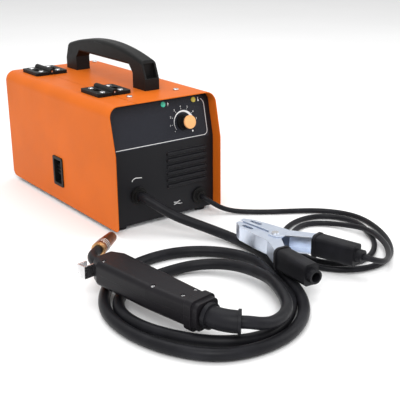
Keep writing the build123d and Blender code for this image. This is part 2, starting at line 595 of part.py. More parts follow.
# ================================================================ rear fittings
SWITCH_X, SWITCH_Z = SWITCH
switch_body = block(SWITCH_X - 9.5, SWITCH_X + 9.5, rear_face - 22, rear_face,
                    SWITCH_Z - 13.5, SWITCH_Z + 13.5)
switch_body += block(SWITCH_X - 11.5, SWITCH_X + 11.5, rear_face, rear_face + 2.0,
                     SWITCH_Z - 15.5, SWITCH_Z + 15.5)
switch_body -= block(SWITCH_X - 7.5, SWITCH_X + 7.5, rear_face - 9, rear_face + 3,
                     SWITCH_Z - 12.0, SWITCH_Z + 12.0)
ROCKER_AXIS = (SWITCH_X, rear_face - 1.5, SWITCH_Z)
switch_body -= rod((SWITCH_X - 8.6, ROCKER_AXIS[1], SWITCH_Z),
                   (SWITCH_X + 8.6, ROCKER_AXIS[1], SWITCH_Z), 1.05)
parts["switch_housing"] = switch_body
rocker_side = [
    (rear_face - 4.5, SWITCH_Z - 4),
    (rear_face - 1.0, SWITCH_Z - 10.8),
    (rear_face + 3.6, SWITCH_Z - 10.8),
    (rear_face + 1.6, SWITCH_Z),
    (rear_face + 3.6, SWITCH_Z + 10.8),
    (rear_face - 1.0, SWITCH_Z + 10.8),
    (rear_face - 4.5, SWITCH_Z + 4),
]
rocker = prism(rocker_side, Plane.YZ.offset(SWITCH_X - 7.0), 14.0)
rocker += rod((SWITCH_X - 8.4, ROCKER_AXIS[1], SWITCH_Z), (SWITCH_X + 8.4, ROCKER_AXIS[1], SWITCH_Z), 1.0)
parts["switch_rocker"] = rocker.rotate(Axis(ROCKER_AXIS, (1, 0, 0)), -ROCKER_TILT)

mains_face = Plane(origin=(MAINS_GLAND[0], rear_face, MAINS_GLAND[1]), x_dir=(-1, 0, 0), z_dir=(0, 1, 0))
mains_gland = extrude(mains_face * Circle(8.0), 3.0)
mains_gland += extrude(mains_face.offset(3.0) * Circle(6.5), 6.0, taper=6)
mains_gland += extrude(mains_face * Circle(5.5), -6.0)
mains_gland += extrude(mains_face.offset(-SHEET) * RegularPolygon(9.0, 6), -4.0)
mains_gland -= extrude(mains_face.offset(-7) * Circle(MAINS_CABLE_R + CABLE_EASE), 18)

# Fan: square frame with four struts carrying the hub, bladed rotor in its bore.
FAN_X, FAN_Z = FAN
fan_back = rear_face - SHEET
fan_front = fan_back - FAN_DEPTH
fan_frame = block(FAN_X - 40, FAN_X + 40, fan_front, fan_back, FAN_Z - 40, FAN_Z + 40)
fan_frame = fillet(fan_frame.edges().filter_by(Axis.Y), 4.0)
fan_frame -= rod((FAN_X, fan_front - 1, FAN_Z), (FAN_X, fan_back + 1, FAN_Z), 38.0)
fan_frame += rod((FAN_X, fan_front, FAN_Z), (FAN_X, fan_front + 4, FAN_Z), 17.0)
for angle in (45, 135, 225, 315):
    strut = Pos(FAN_X, 0, FAN_Z) * Rot(0, angle, 0) * block(10, 39, fan_front, fan_front + 3, -2, 2)
    fan_frame += strut
fan_frame += rod((FAN_X, fan_front, FAN_Z), (FAN_X, fan_front + 16, FAN_Z), 2.5)
for frame in FAN_SCREWS:
    fan_frame -= screw_hole(frame, 1.6, 12)
parts["fan_frame"] = fan_frame
rotor_front = fan_front + 5.0
rotor_back = fan_back - 2.0
fan_rotor = rod((FAN_X, rotor_front, FAN_Z), (FAN_X, rotor_back, FAN_Z), 17.0)
BLADES = 7
for i in range(BLADES):
    blade_root = Plane.XY * (Rot(0, 0, 32) * Rectangle(1.6, 20))
    blade = extrude(blade_root, 21.0)
    blade = Rot(0, 360 * i / BLADES, 0) * Pos(0, 0, 15.5) * blade
    blade = Pos(FAN_X, (rotor_front + rotor_back) / 2, FAN_Z) * blade
    fan_rotor += blade
fan_rotor &= rod((FAN_X, rotor_front, FAN_Z), (FAN_X, rotor_back, FAN_Z), 36.5)
fan_rotor -= rod((FAN_X, rotor_front - 1, FAN_Z), (FAN_X, fan_front + 16.4, FAN_Z), 2.55)
parts["fan_rotor"] = fan_rotor

# ================================================================ electronics
BOARD_Z = 24.0
BOARD = (-8.0, 72.0, -18.0, 104.0)
circuit_board = block(*BOARD, BOARD_Z, BOARD_Z + 1.6)
for x in (BOARD[0] + 8, BOARD[1] - 5):
    for y in (BOARD[2] + 6, BOARD[3] - 6):
        base_pan += rod((x, y, CASE_BOTTOM + SHEET / 2), (x, y, BOARD_Z), 3.0)
heatsink = block(-6, 32, 10, 82, BOARD_Z + 1.6, BOARD_Z + 7.6)
FINS = 8
for i in range(FINS):
    x = -6 + i * (38 - 2.0) / (FINS - 1)
    heatsink += block(x, x + 2.0, 10, 82, BOARD_Z + 7.0, BOARD_Z + 52)
parts["heatsink"] = heatsink
core = block(38, 70, 20, 62, BOARD_Z + 1.6, BOARD_Z + 44)
core -= block(44, 50, 19, 63, BOARD_Z + 8, BOARD_Z + 38)
core -= block(58, 64, 19, 63, BOARD_Z + 8, BOARD_Z + 38)
winding = block(44.3, 63.7, 18, 64, BOARD_Z + 8.3, BOARD_Z + 37.7)
winding -= block(50, 58, 20, 62, BOARD_Z + 8, BOARD_Z + 38)
winding = winding - core
parts["transformer"] = group([core, winding])
capacitors = []
for y in (-6.0, 88.0):
    can = rod((54, y, BOARD_Z + 1.6), (54, y, BOARD_Z + 46), 11.0)
    can -= Plane(origin=(54, y, BOARD_Z + 8)) * Pos(0, 0, 0) * Torus(11.2, 1.0)
    capacitors.append(can)
parts["circuit_board"] = group([circuit_board] + capacitors)

# ================================================================ wire feed
spool_centre = Vector(WIRE_X, SPOOL_Y, WIRE_Z + COIL_R + 0.5)
SPOOL_Z = spool_centre.Z
SPOOL_X0 = WIRE_X - SPOOL_WIDTH / 2
SPOOL_X1 = WIRE_X + SPOOL_WIDTH / 2
wire_spool = rod((SPOOL_X0, SPOOL_Y, SPOOL_Z), (SPOOL_X0 + 2.5, SPOOL_Y, SPOOL_Z), SPOOL_R)
wire_spool += rod((SPOOL_X1 - 2.5, SPOOL_Y, SPOOL_Z), (SPOOL_X1, SPOOL_Y, SPOOL_Z), SPOOL_R)
wire_spool += rod((SPOOL_X0, SPOOL_Y, SPOOL_Z), (SPOOL_X1, SPOOL_Y, SPOOL_Z), 25.0)
wire_spool -= rod((SPOOL_X0 - 1, SPOOL_Y, SPOOL_Z), (SPOOL_X1 + 1, SPOOL_Y, SPOOL_Z), SPOOL_BORE_R)
for i in range(6):
    angle = math.radians(60 * i)
    y = SPOOL_Y + 17.0 * math.cos(angle)
    z = SPOOL_Z + 17.0 * math.sin(angle)
    wire_spool -= rod((SPOOL_X0 - 1, y, z), (SPOOL_X1 + 1, y, z), 5.0)
parts["wire_spool"] = wire_spool
wire_coil = rod((SPOOL_X0 + 2.5, SPOOL_Y, SPOOL_Z), (SPOOL_X1 - 2.5, SPOOL_Y, SPOOL_Z), COIL_R)
wire_coil -= rod((SPOOL_X0, SPOOL_Y, SPOOL_Z), (SPOOL_X1, SPOOL_Y, SPOOL_Z), 25.0)
parts["wire_coil"] = wire_coil

# Spindle bolted to the partition, with a flange behind the spool and a wing nut on its end.
spindle = rod((PARTITION_X, SPOOL_Y, SPOOL_Z), (SPOOL_X0 - 5, SPOOL_Y, SPOOL_Z), SPOOL_BORE_R - 0.06)
spindle = rod((PARTITION_X, SPOOL_Y, SPOOL_Z), (SPOOL_X1 + 0.4, SPOOL_Y, SPOOL_Z), 14.0) + spindle
parts["spool_spindle"] = spindle
NUT_X = SPOOL_X0 - 0.4
retainer = rod((NUT_X, SPOOL_Y, SPOOL_Z), (NUT_X - 4.2, SPOOL_Y, SPOOL_Z), 13.0)
retainer -= rod((NUT_X + 1, SPOOL_Y, SPOOL_Z), (NUT_X - 8, SPOOL_Y, SPOOL_Z), SPOOL_BORE_R - 0.06)
parts["spool_retainer"] = retainer

# Feeder: a cast body on the partition, grooved drive roll below the wire, pressure roll above.
DRIVE_Z = WIRE_Z - ROLL_GAP / 2 - DRIVE_ROLL_R
PRESS_Z = WIRE_Z + ROLL_GAP / 2 + PRESSURE_ROLL_R
BODY_X = WIRE_X + 9.0
feeder_body = block(BODY_X, BODY_X + 7, FEEDER_Y - 30, FEEDER_Y + 30, 12.0, 64.0)
feeder_body += block(BODY_X + 6, PARTITION_X, FEEDER_Y - 26, FEEDER_Y - 18, 16.0, 60.0)
feeder_body += block(BODY_X + 6, PARTITION_X, FEEDER_Y + 18, FEEDER_Y + 26, 16.0, 60.0)
for y in (FEEDER_Y - 24, FEEDER_Y + 24):
    feeder_body += block(WIRE_X - 5, BODY_X + 1, y - 6, y + 6, WIRE_Z - 6, WIRE_Z + 6)
feeder_body -= rod((WIRE_X, FEEDER_Y - 40, WIRE_Z), (WIRE_X, FEEDER_Y + 40, WIRE_Z), 1.2)
feeder_body -= rod((BODY_X - 1, FEEDER_Y, DRIVE_Z), (BODY_X + 9, FEEDER_Y, DRIVE_Z), 5.0)
ARM_PIVOT = (FEEDER_Y + 22.0, PRESS_Z + 2.0)
feeder_body += rod((BODY_X, ARM_PIVOT[0], ARM_PIVOT[1]), (BODY_X - 15, ARM_PIVOT[0], ARM_PIVOT[1]), 3.0)
parts["feeder_body"] = feeder_body

feeder_motor = rod((PARTITION_X + SHEET, FEEDER_Y, DRIVE_Z), (PARTITION_X + 58, FEEDER_Y, DRIVE_Z), 19.0)
feeder_motor += rod((PARTITION_X + 58, FEEDER_Y, DRIVE_Z), (PARTITION_X + 62, FEEDER_Y, DRIVE_Z), 8.0)
parts["feeder_motor"] = feeder_motor

partition -= rod((PARTITION_X - 1, FEEDER_Y, DRIVE_Z), (PARTITION_X + 4, FEEDER_Y, DRIVE_Z), 6.0)
parts["partition"] = partition

ROLL_HALF = 4.0
drive_roll = rod((WIRE_X - ROLL_HALF, FEEDER_Y, DRIVE_Z),
                 (WIRE_X + ROLL_HALF, FEEDER_Y, DRIVE_Z), DRIVE_ROLL_R)
drive_roll -= Pos(WIRE_X, FEEDER_Y, DRIVE_Z) * Rot(0, 90, 0) * Torus(DRIVE_ROLL_R + 0.3, 0.8)
drive_roll += rod((WIRE_X - 8, FEEDER_Y, DRIVE_Z), (PARTITION_X + 0.8, FEEDER_Y, DRIVE_Z), 3.4)
parts["drive_roll"] = drive_roll

ARM_X0 = WIRE_X - 6.5
ARM_X1 = WIRE_X + 6.5
pressure_roll = rod((WIRE_X - ROLL_HALF, FEEDER_Y, PRESS_Z),
                    (WIRE_X + ROLL_HALF, FEEDER_Y, PRESS_Z), PRESSURE_ROLL_R)
pressure_roll += rod((ARM_X0 + 0.6, FEEDER_Y, PRESS_Z), (ARM_X1 - 0.6, FEEDER_Y, PRESS_Z), 3.0)
parts["pressure_roll"] = pressure_roll
ARM_TOP = PRESS_Z + 13.5
arm = block(ARM_X0 - 1.6, ARM_X1 + 1.6, FEEDER_Y - 26, ARM_PIVOT[0] + 5.5, PRESS_Z - 5, ARM_TOP)
arm = fillet(arm.edges().filter_by(Axis.X).group_by(Axis.Z)[-1], 5.0)
arm -= block(WIRE_X - 5.0, WIRE_X + 5.0, FEEDER_Y - 13, FEEDER_Y + 13, PRESS_Z - 8, PRESS_Z + 12)
arm -= rod((ARM_X0, FEEDER_Y, PRESS_Z), (ARM_X1, FEEDER_Y, PRESS_Z), 3.06)
arm -= rod((ARM_X0 - 3, ARM_PIVOT[0], ARM_PIVOT[1]), (ARM_X1 + 3, ARM_PIVOT[0], ARM_PIVOT[1]), 3.06)
arm -= block(ARM_X0 - 3, ARM_X1 + 3, ARM_PIVOT[0] - 7, ARM_PIVOT[0] + 6, PRESS_Z - 6, PRESS_Z - 4.2)
heel = arm.edges().filter_by(Axis.X).filter_by(
    lambda e: e.center().Y > ARM_PIVOT[0] + 4 and e.center().Z < PRESS_Z)
arm = fillet(heel, 4.0)
TENSION_Y = FEEDER_Y - 20.0
arm += rod((WIRE_X, TENSION_Y, ARM_TOP - 1), (WIRE_X, TENSION_Y, ARM_TOP + 16), 2.5)
parts["pressure_arm"] = arm

# Tension thumbwheel on a stud at the arm's free end.
thumb = rod((WIRE_X, TENSION_Y, ARM_TOP + 0.2), (WIRE_X, TENSION_Y, ARM_TOP + 14), 6.5)
for i in range(12):
    angle = 2 * math.pi * i / 12
    thumb -= rod((WIRE_X + 6.9 * math.cos(angle), TENSION_Y + 6.9 * math.sin(angle), ARM_TOP),
                 (WIRE_X + 6.9 * math.cos(angle), TENSION_Y + 6.9 * math.sin(angle), ARM_TOP + 15), 1.0)
thumb -= rod((WIRE_X, TENSION_Y, ARM_TOP - 1), (WIRE_X, TENSION_Y, ARM_TOP + 18), 2.56)
parts["tension_wheel"] = thumb

# The wire runs straight from the underside of the coil to the torch liner.
parts["welding_wire"] = rod((WIRE_X, SPOOL_Y, WIRE_Z), (WIRE_X, PANEL_Y + 6.05, WIRE_Z), 0.45)

# ================================================================ torch
torch_axis = (TORCH_FRONT - TORCH_REAR).normalized()
TORCH_LENGTH = (TORCH_FRONT - TORCH_REAR).length
trigger_side = Vector(-torch_axis.Y, torch_axis.X, 0).normalized() * -1
TORCH = Plane(origin=TORCH_REAR, x_dir=torch_axis, z_dir=trigger_side)
# Torch's own axes: X forward along the handle, Z towards the trigger, Y out of its flat side.


def torch_point(x, y, z):
    """A point in the torch's own axes."""
    return TORCH.from_local_coords(Vector(x, y, z))


def torch_block(x0, x1, y0, y1, z0, z1):
    """A box in the torch's own axes."""
    return TORCH.location * block(x0, x1, y0, y1, z0, z1)


L = TORCH_LENGTH
side = Polyline(
    (0, -14.5), (0, 14.5), (18, 15.5), (66, 17.5), (L - 12, 20.5), (L, 15.0),
    (L, -14.0), (L - 10, -18.5), (66, -18.5), (18, -15.5), close=True)
shell_block = extrude(Plane.XZ * make_face(side), HANDLE_HALF_THICK, both=True)
long_edges = shell_block.edges().filter_by(
    lambda e: abs(abs(e.center().Y) - HANDLE_HALF_THICK) < 0.01 and 1 < e.center().X < L - 1)
shell_block = fillet(long_edges, 6.0)
collar = extrude(Plane.YZ * RectangleRounded(32, 33, 6), 9.0)
shell_block = shell_block + Pos(6, 0, 0) * collar
TRIGGER_X = (72.0, L - 8.0)
TRIGGER_HALF_Y = 6.5
cavity = block(16, L - 26, -10.5, 10.5, -11.5, 11.0)
cavity += rod((-1, 0, 0), (20, 0, 0), TORCH_CABLE_R + CABLE_EASE)
cavity += rod((L - 30, 0, 0), (L + 1, 0, 0), NECK_R)
slot = block(TRIGGER_X[0] - 0.6, TRIGGER_X[1] + 0.6, -TRIGGER_HALF_Y - 0.5, TRIGGER_HALF_Y + 0.5, 7.5, 30)
shell_block = shell_block - cavity - slot
torch_screws = []
for x, z in ((25.0, -7.0), (25.0, 9.5), (60.0, -13.0), (L - 14, -11.0)):
    frame = Plane(origin=(x, 11.5, z), x_dir=(1, 0, 0), z_dir=(0, 1, 0))
    shell_block -= extrude(frame * Circle(2.6), 10)
    shell_block -= extrude(frame * Circle(1.3), -16)
    torch_screws.append(pan_head(frame, head_r=2.5, head_h=1.6, shank_r=1.3, length=16))
top_half = shell_block & block(-5, L + 5, 0, 30, -40, 40)
low_half = shell_block & block(-5, L + 5, -30, 0, -40, 40)
TRIGGER_PIN = (L - 13.0, 13.0)
pin_hole = rod((TRIGGER_PIN[0], -9.5, TRIGGER_PIN[1]), (TRIGGER_PIN[0], 9.5, TRIGGER_PIN[1]), 1.5)
parts["torch_shell_upper"] = TORCH.location * (top_half - pin_hole)
parts["torch_shell_lower"] = TORCH.location * (low_half - pin_hole)
parts["torch_fasteners"] = group([TORCH.location * s for s in torch_screws + [pin_hole]])

trigger_side_outline = [
    (TRIGGER_X[0], 14.0), (TRIGGER_X[0] + 2, 24.0), (TRIGGER_X[0] + 12, 25.0), (L - 34, 22.5),
    (L - 12, 23.5), (TRIGGER_X[1], 19.0), (TRIGGER_X[1] - 0.5, 11.0), (L - 20, 9.5),
    (TRIGGER_X[0] + 6, 13.0)]
trigger_face = make_face(Polyline(*trigger_side_outline, close=True))
trigger = extrude(Plane.XZ * trigger_face, TRIGGER_HALF_Y, both=True)
trigger -= rod((TRIGGER_PIN[0], -9, TRIGGER_PIN[1]), (TRIGGER_PIN[0], 9, TRIGGER_PIN[1]), 1.55)
parts["torch_trigger"] = TORCH.location * trigger
parts["trigger_switch"] = torch_block(88, 100, -10.5, 10.5, 0.0, 7.4)


def boot_arc_point(share):
    """A point on the boot's curved centre line: 0 at the handle, 1 at its far end."""
    angle = math.radians(BOOT_TURN) * share
    radius = BOOT_LENGTH / math.radians(BOOT_TURN)
    return torch_point(-radius * math.sin(angle), 0, radius * (1 - math.cos(angle)))


def boot_ring(share, length, radius):
    """A collar standing on the boot's centre line."""
    start = boot_arc_point(share)
    ahead = boot_arc_point(share + length / BOOT_LENGTH)
    return rod(start, ahead, radius)


def boot_sweep(first, last, radius):
    """A round bar along the boot's centre line between two shares of its length."""
    line = ThreePointArc(boot_arc_point(first), boot_arc_point((first + last) / 2), boot_arc_point(last))
    return sweep(Plane(origin=line @ 0, z_dir=line % 0) * Circle(radius), path=line)


torch_boot = boot_sweep(0.04, 1.0, 10.8) + boot_ring(0.04, 4.5, 13.0) + boot_ring(0.94, 3.0, 12.2)
torch_boot -= boot_sweep(-0.1, 1.3, TORCH_CABLE_R + 2 * CABLE_EASE)
parts["torch_boot"] = torch_boot

bend = math.radians(TORCH_BEND)
neck_straight = 10.0
bend_start = (L + neck_straight, 0, 0)
bend_end = (L + neck_straight + NECK_BEND_R * math.sin(bend), 0, NECK_BEND_R * (1 - math.cos(bend)))
bend_mid = (L + neck_straight + NECK_BEND_R * math.sin(bend / 2), 0, NECK_BEND_R * (1 - math.cos(bend / 2)))
neck_dir = Vector(math.cos(bend), 0, math.sin(bend))
neck_path = Line((L - 30, 0, 0), bend_start) + ThreePointArc(bend_start, bend_mid, bend_end)
neck_path += Line(bend_end, Vector(*bend_end) + neck_dir * 8)
neck = sweep(Plane(origin=(L - 30, 0, 0), z_dir=(1, 0, 0)) * Circle(NECK_R), path=neck_path)
parts["swan_neck"] = TORCH.location * neck
neck_tip = Vector(*bend_end) + neck_dir * 8
NOZZLE = Plane(origin=neck_tip, x_dir=(0, 1, 0), z_dir=neck_dir)
insulator = extrude(NOZZLE * Circle(7.6), 6.0) + extrude(NOZZLE.offset(6) * Circle(5.0), 8.0)
insulator += extrude(NOZZLE.offset(1.5) * Circle(8.1), 1.0) + extrude(NOZZLE.offset(4.0) * Circle(8.1), 1.0)
insulator -= extrude(NOZZLE.offset(10) * Circle(3.0), 6)
parts["nozzle_adapter"] = TORCH.location * insulator
nozzle = extrude(NOZZLE.offset(6) * Circle(7.8), 10.0)
nozzle += extrude(NOZZLE.offset(16) * Circle(7.8), 24.0, taper=4)
nozzle -= extrude(NOZZLE.offset(14) * Circle(4.9), 40)
nozzle -= extrude(NOZZLE.offset(5) * Circle(5.0), 10)
parts["torch_nozzle"] = TORCH.location * nozzle
tip = extrude(NOZZLE.offset(10) * Circle(3.0), 26) - extrude(NOZZLE.offset(10) * Circle(0.6), 27)
parts["contact_tip"] = TORCH.location * tip
ring = rod((L, 0, 0), (L + 4, 0, 0), 8.6) - rod((L - 1, 0, 0), (L + 5, 0, 0), NECK_R)
# Hanging hook: a steel strip folded off the front, behind the trigger side.
hook = ring + block(L, L + 1.5, -7, 7, -24, -7.0)
hook += block(L, L + 12, -7, 7, -25.5, -24)
hook += block(L + 10.5, L + 12, -7, 7, -25.5, -14)
hook -= rod((L - 1, 0, 0), (L + 5, 0, 0), NECK_R)
parts["torch_hook"] = TORCH.location * hook

# ================================================================ earth clamp
CLAMP = Plane(origin=CLAMP_PIVOT, x_dir=(math.cos(math.radians(CLAMP_HEADING)),
                                         math.sin(math.radians(CLAMP_HEADING)), 0), z_dir=(0, 0, 1))
FLANGE = 1.5
GRIP_SLOPE = math.tan(math.radians(10.0))
ELBOW = (-34.0, 35.0)          # where a handle's outer face bends to run along its grip
HANDLE_END_U = -84.0
CHANNEL_DEPTH = 14.0


def clamp_half(side, half_height):
    """A pressed channel: web on the outside, flanges reaching in past the pivot."""
    end_v = ELBOW[1] + (ELBOW[0] - HANDLE_END_U) * GRIP_SLOPE
    web = [(58, 6), (46, 12.5), (16, 17), (-6, 19), ELBOW, (HANDLE_END_U, end_v)]
    inner = [(HANDLE_END_U, end_v - CHANNEL_DEPTH), (ELBOW[0] - 2, ELBOW[1] - CHANNEL_DEPTH),
             (-12, 3.0), (-8, -6.5), (4, -7.5), (10, 0.6), (58, 0.6)]
    outline = [(u, side * v) for u, v in web + inner]
    body = make_face(Polyline(*outline, close=True))
    body = extrude(Plane.XY.offset(-half_height) * body, 2 * half_height)
    hollow_web = [(u, side * (v - FLANGE)) for u, v in web]
    hollow = [(60, side * 4.0)] + hollow_web + [(HANDLE_END_U - 2, side * end_v * 0.95),
                                                (HANDLE_END_U - 2, -side * 30), (60, -side * 30)]
    gap = half_height - FLANGE
    body -= extrude(Plane.XY.offset(-gap) * make_face(Polyline(*hollow, close=True)), 2 * gap)
    return body


cable_half = clamp_half(-1, CLAMP_HALF_HEIGHT)
free_half = clamp_half(1, CLAMP_HALF_HEIGHT - FLANGE - 0.15)
pin_outer = rod((0, 0, -20), (0, 0, 20), CLAMP_PIN_R)
pin_loose = rod((0, 0, -20), (0, 0, 20), CLAMP_PIN_R + 0.06)
cable_half -= pin_outer
free_half -= pin_loose
# Pressed windows in the jaws' broad faces.
window = extrude(Plane.XY.offset(-20) * (Pos(38, -7) * SlotOverall(18, 5)), 40)
cable_half -= window
free_half -= extrude(Plane.XY.offset(-20) * (Pos(38, 7) * SlotOverall(18, 5)), 40)
parts["clamp_jaw_cable"] = CLAMP.location * cable_half
parts["clamp_jaw_free"] = CLAMP.location * free_half
pin = rod((0, 0, -CLAMP_HALF_HEIGHT - 1.2), (0, 0, CLAMP_HALF_HEIGHT + 1.2), CLAMP_PIN_R)
pin += rod((0, 0, CLAMP_HALF_HEIGHT), (0, 0, CLAMP_HALF_HEIGHT + 1.2), 4.2)
pin += rod((0, 0, -CLAMP_HALF_HEIGHT - 1.2), (0, 0, -CLAMP_HALF_HEIGHT), 4.2)
parts["clamp_pivot"] = CLAMP.location * pin
COIL_TURNS = 5
SPRING_WIRE_R = 0.9
helix = Helix(pitch=2.4, height=2.4 * COIL_TURNS, radius=4.6)
spring = sweep(Plane(origin=helix @ 0, z_dir=helix % 0) * Circle(SPRING_WIRE_R), path=helix)
parts["clamp_spring"] = CLAMP.location * Pos(0, 0, -1.2 * COIL_TURNS) * spring


GRIP_LENGTH = 52.0


def clamp_grip(half, side, bore):
    """A rubber sleeve with a flanged mouth, moulded round a steel handle."""
    mouth = Vector(ELBOW[0] - 3, side * (ELBOW[1] + 0.5 - CHANNEL_DEPTH / 2), 0)
    direction = Vector(-1, side * GRIP_SLOPE, 0).normalized()
    frame = Plane(origin=mouth, x_dir=(0, 0, 1), z_dir=direction)
    sleeve = extrude(frame * RectangleRounded(25.2, 19.6, 5.2), GRIP_LENGTH, taper=0.5)
    sleeve += extrude(frame * RectangleRounded(27, 22, 6.5), 3.5)
    sleeve += extrude(frame.offset(GRIP_LENGTH) * Circle(7.8), 8)
    sleeve -= extrude(frame.offset(-1) * Circle(bore), GRIP_LENGTH + 12)
    sleeve = sleeve - half
    return max(sleeve.solids(), key=lambda solid: solid.volume), frame


cable_grip, cable_grip_frame = clamp_grip(cable_half, -1, EARTH_CABLE_R + CABLE_EASE)
free_grip = clamp_grip(free_half, 1, 5.5)[0]
parts["clamp_grip_cable"] = CLAMP.location * cable_grip
parts["clamp_grip_free"] = CLAMP.location * free_grip

# ================================================================ cables
torch_path = [
    (TORCH_GLAND[0], PANEL_Y + 6, TORCH_GLAND[1]),
    (TORCH_GLAND[0], PANEL_Y - 8, TORCH_GLAND[1]),
    (-33, -161, 37),
    (-20, -181, 26),
    (-3, -206, 17),
    (16, -243, 9),
    # outer turn, clockwise on the floor
    (22, -286, FLOOR_Z),
    (17, -322, FLOOR_Z),
    (4, -361, FLOOR_Z),
    (-14, -408, FLOOR_Z),
    (-41, -448, FLOOR_Z),
    (-82, -474, FLOOR_Z),
    (-125, -478, FLOOR_Z),
    (-162, -464, FLOOR_Z),
    (-187, -433, FLOOR_Z),
    (-201, -395, FLOOR_Z),
    (-204, -362, FLOOR_Z),
    (-199, -330, FLOOR_Z),
    (-183, -298, FLOOR_Z),
    (-155, -268, FLOOR_Z),
    (-107, -247, FLOOR_Z),
    # second turn, lying inside the first
    (-60, -249, FLOOR_Z),
    (-20, -276, FLOOR_Z),
    (-2, -321, FLOOR_Z),
    (-15, -368, FLOOR_Z),
    (-30, -412, FLOOR_Z),
    (-44, -432, FLOOR_Z),
    (-66, -450, FLOOR_Z),
    (-104, -463, FLOOR_Z),
    (-148, -445, FLOOR_Z),
    (-173, -413, FLOOR_Z),
    (-188, -374, FLOOR_Z),
    (-186, -333, FLOOR_Z),
    (-170, -309, FLOOR_Z),
    (-142, -293, FLOOR_Z),
    (-107, -288, FLOOR_Z),
    # last half turn climbs over the second and into the torch
    (-72, -294, 8.5),
    (-40, -323, 12),
    (-32, -352, 14),
    (-34, -386, 16.5),
    (-47, -419, 18.6),
    (-68, -452, 20),
    (-92, -468, 21.8),
    (-112, -470, 24),
    boot_arc_point(1.15),
    boot_arc_point(1.0),
    boot_arc_point(0.75),
    boot_arc_point(0.5),
    boot_arc_point(0.25),
    torch_point(0, 0, 0),
    torch_point(20, 0, 0),
]
parts["torch_cable"] = cable(torch_path, TORCH_CABLE_R)
grip_tail = CLAMP.from_local_coords(cable_grip_frame.origin + cable_grip_frame.z_dir * (GRIP_LENGTH + 8))
grip_direction = (grip_tail - CLAMP.from_local_coords(cable_grip_frame.origin)).normalized()
earth_path = [
    (EARTH_GLAND[0], PANEL_Y + 6, EARTH_GLAND[1]),
    (EARTH_GLAND[0], PANEL_Y - 7, EARTH_GLAND[1]),
    (61, -157, 17),
    (76, -168, 7),
    (96, -185, EARTH_Z),
    (143, -219, EARTH_Z),
    (180, -246, EARTH_Z),
    (200, -284, EARTH_Z),
    (192, -331, EARTH_Z),
    (162, -381, EARTH_Z),
    (121, -410, EARTH_Z),
    (79, -406, EARTH_Z),
    (50, -378, EARTH_Z),
    (50, -330, EARTH_Z),
    (80, -280, EARTH_Z),
    (120, -256, EARTH_Z),
    (160, -258, EARTH_Z),
    (184, -292, EARTH_Z),
    (174, -334, EARTH_Z),
    (140, -376, EARTH_Z),
    (98, -392, EARTH_Z),
    (64, -372, EARTH_Z),
    (60, -330, EARTH_Z),
    (84, -290, EARTH_Z),
    (106, -275, EARTH_Z),
    (130, -270, EARTH_Z),
    (152, -284, 4),
    (164, -312, 6.5),
    (164, -340, 10.4),
    (157, -366, 11),
    (144, -390, 11.5),
    (122, -414, 13),
    (98, -430, 17),
    (83, -433, 22),
    grip_tail + grip_direction,
    grip_tail - grip_direction * 30,
]
parts["earth_cable"] = cable(earth_path, EARTH_CABLE_R)

# Mains lead: a loose hank behind the case, ending in a moulded three-pin plug.
MX, MZ = MAINS_GLAND
plug_at = Vector(70, 232, 23.5)
plug_heading = Vector(1, -0.6, 0).normalized()
mains_path = [
    (MX, rear_face - 6, MZ),
    (MX, rear_face + 10, MZ),
    (MX + 4, rear_face + 26, 21),
    (MX + 14, rear_face + 46, 9),
    (MX + 30, rear_face + 68, MAINS_Z),
    (20, 240, MAINS_Z),
    (58, 258, MAINS_Z),
    (96, 246, MAINS_Z),
    (108, 214, MAINS_Z),
    (86, 188, MAINS_Z),
    (46, 182, MAINS_Z),
    (14, 200, 5),
    (-2, 226, 11.8),
    (22, 252, 15),
    (48, 246, 20),
    plug_at - plug_heading,
    plug_at + plug_heading * 6,
]
parts["mains_lead"] = cable(mains_path, MAINS_CABLE_R)
parts["cable_glands"] = group([torch_gland, earth_gland, mains_gland])
PLUG = Plane(origin=plug_at, x_dir=(0, 0, 1), z_dir=plug_heading)
plug = extrude(PLUG * Circle(6.0), 12)
plug += extrude(PLUG.offset(12) * RectangleRounded(26, 26, 9), 24, taper=-3)
plug -= extrude(PLUG * Circle(MAINS_CABLE_R + CABLE_EASE), 7)
pins = [extrude(PLUG.offset(36) * (Pos(4, dx) * Rectangle(6.3, 1.5)), 17) for dx in (-6.3, 6.3)]
pins.append(extrude(PLUG.offset(36) * (Pos(-8, 0) * Circle(2.4)), 20))
parts["mains_plug"] = group([plug] + pins)

# ================================================================ fasteners
case_screws = [pan_head(frame) for frame in TOP_SCREWS + SIDE_SCREWS]
case_screws += [pan_head(frame, length=5.5) for frame in hinge_screws(1)]
case_screws += [pan_head(frame, head_h=2.0, length=7.0) for frame in foot_frames]
case_screws += [pan_head(frame, length=9.0) for frame in HANDLE_SCREWS]
case_screws += [pan_head(frame, 3.0, 1.8, 1.6, 12) for frame in FAN_SCREWS]
parts["case_screws"] = group(case_screws)
parts["door_screws"] = group([pan_head(frame, length=5.5) for frame in hinge_screws(-1)])

# ================================================================ base pan and cover last
parts["base_pan"] = base_pan
parts["top_cover"] = top_cover

# The finished frame has its origin under the front left foot.
to_frame = Pos(-FRAME_ORIGIN[0], -FRAME_ORIGIN[1], 0)
for name, shape in parts.items():
    export_step(to_frame * shape, f"parts/{name}.step")
print(len(parts), "nodes written")
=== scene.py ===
import bpy
import bmesh
import json
import math
from mathutils import Matrix, Vector


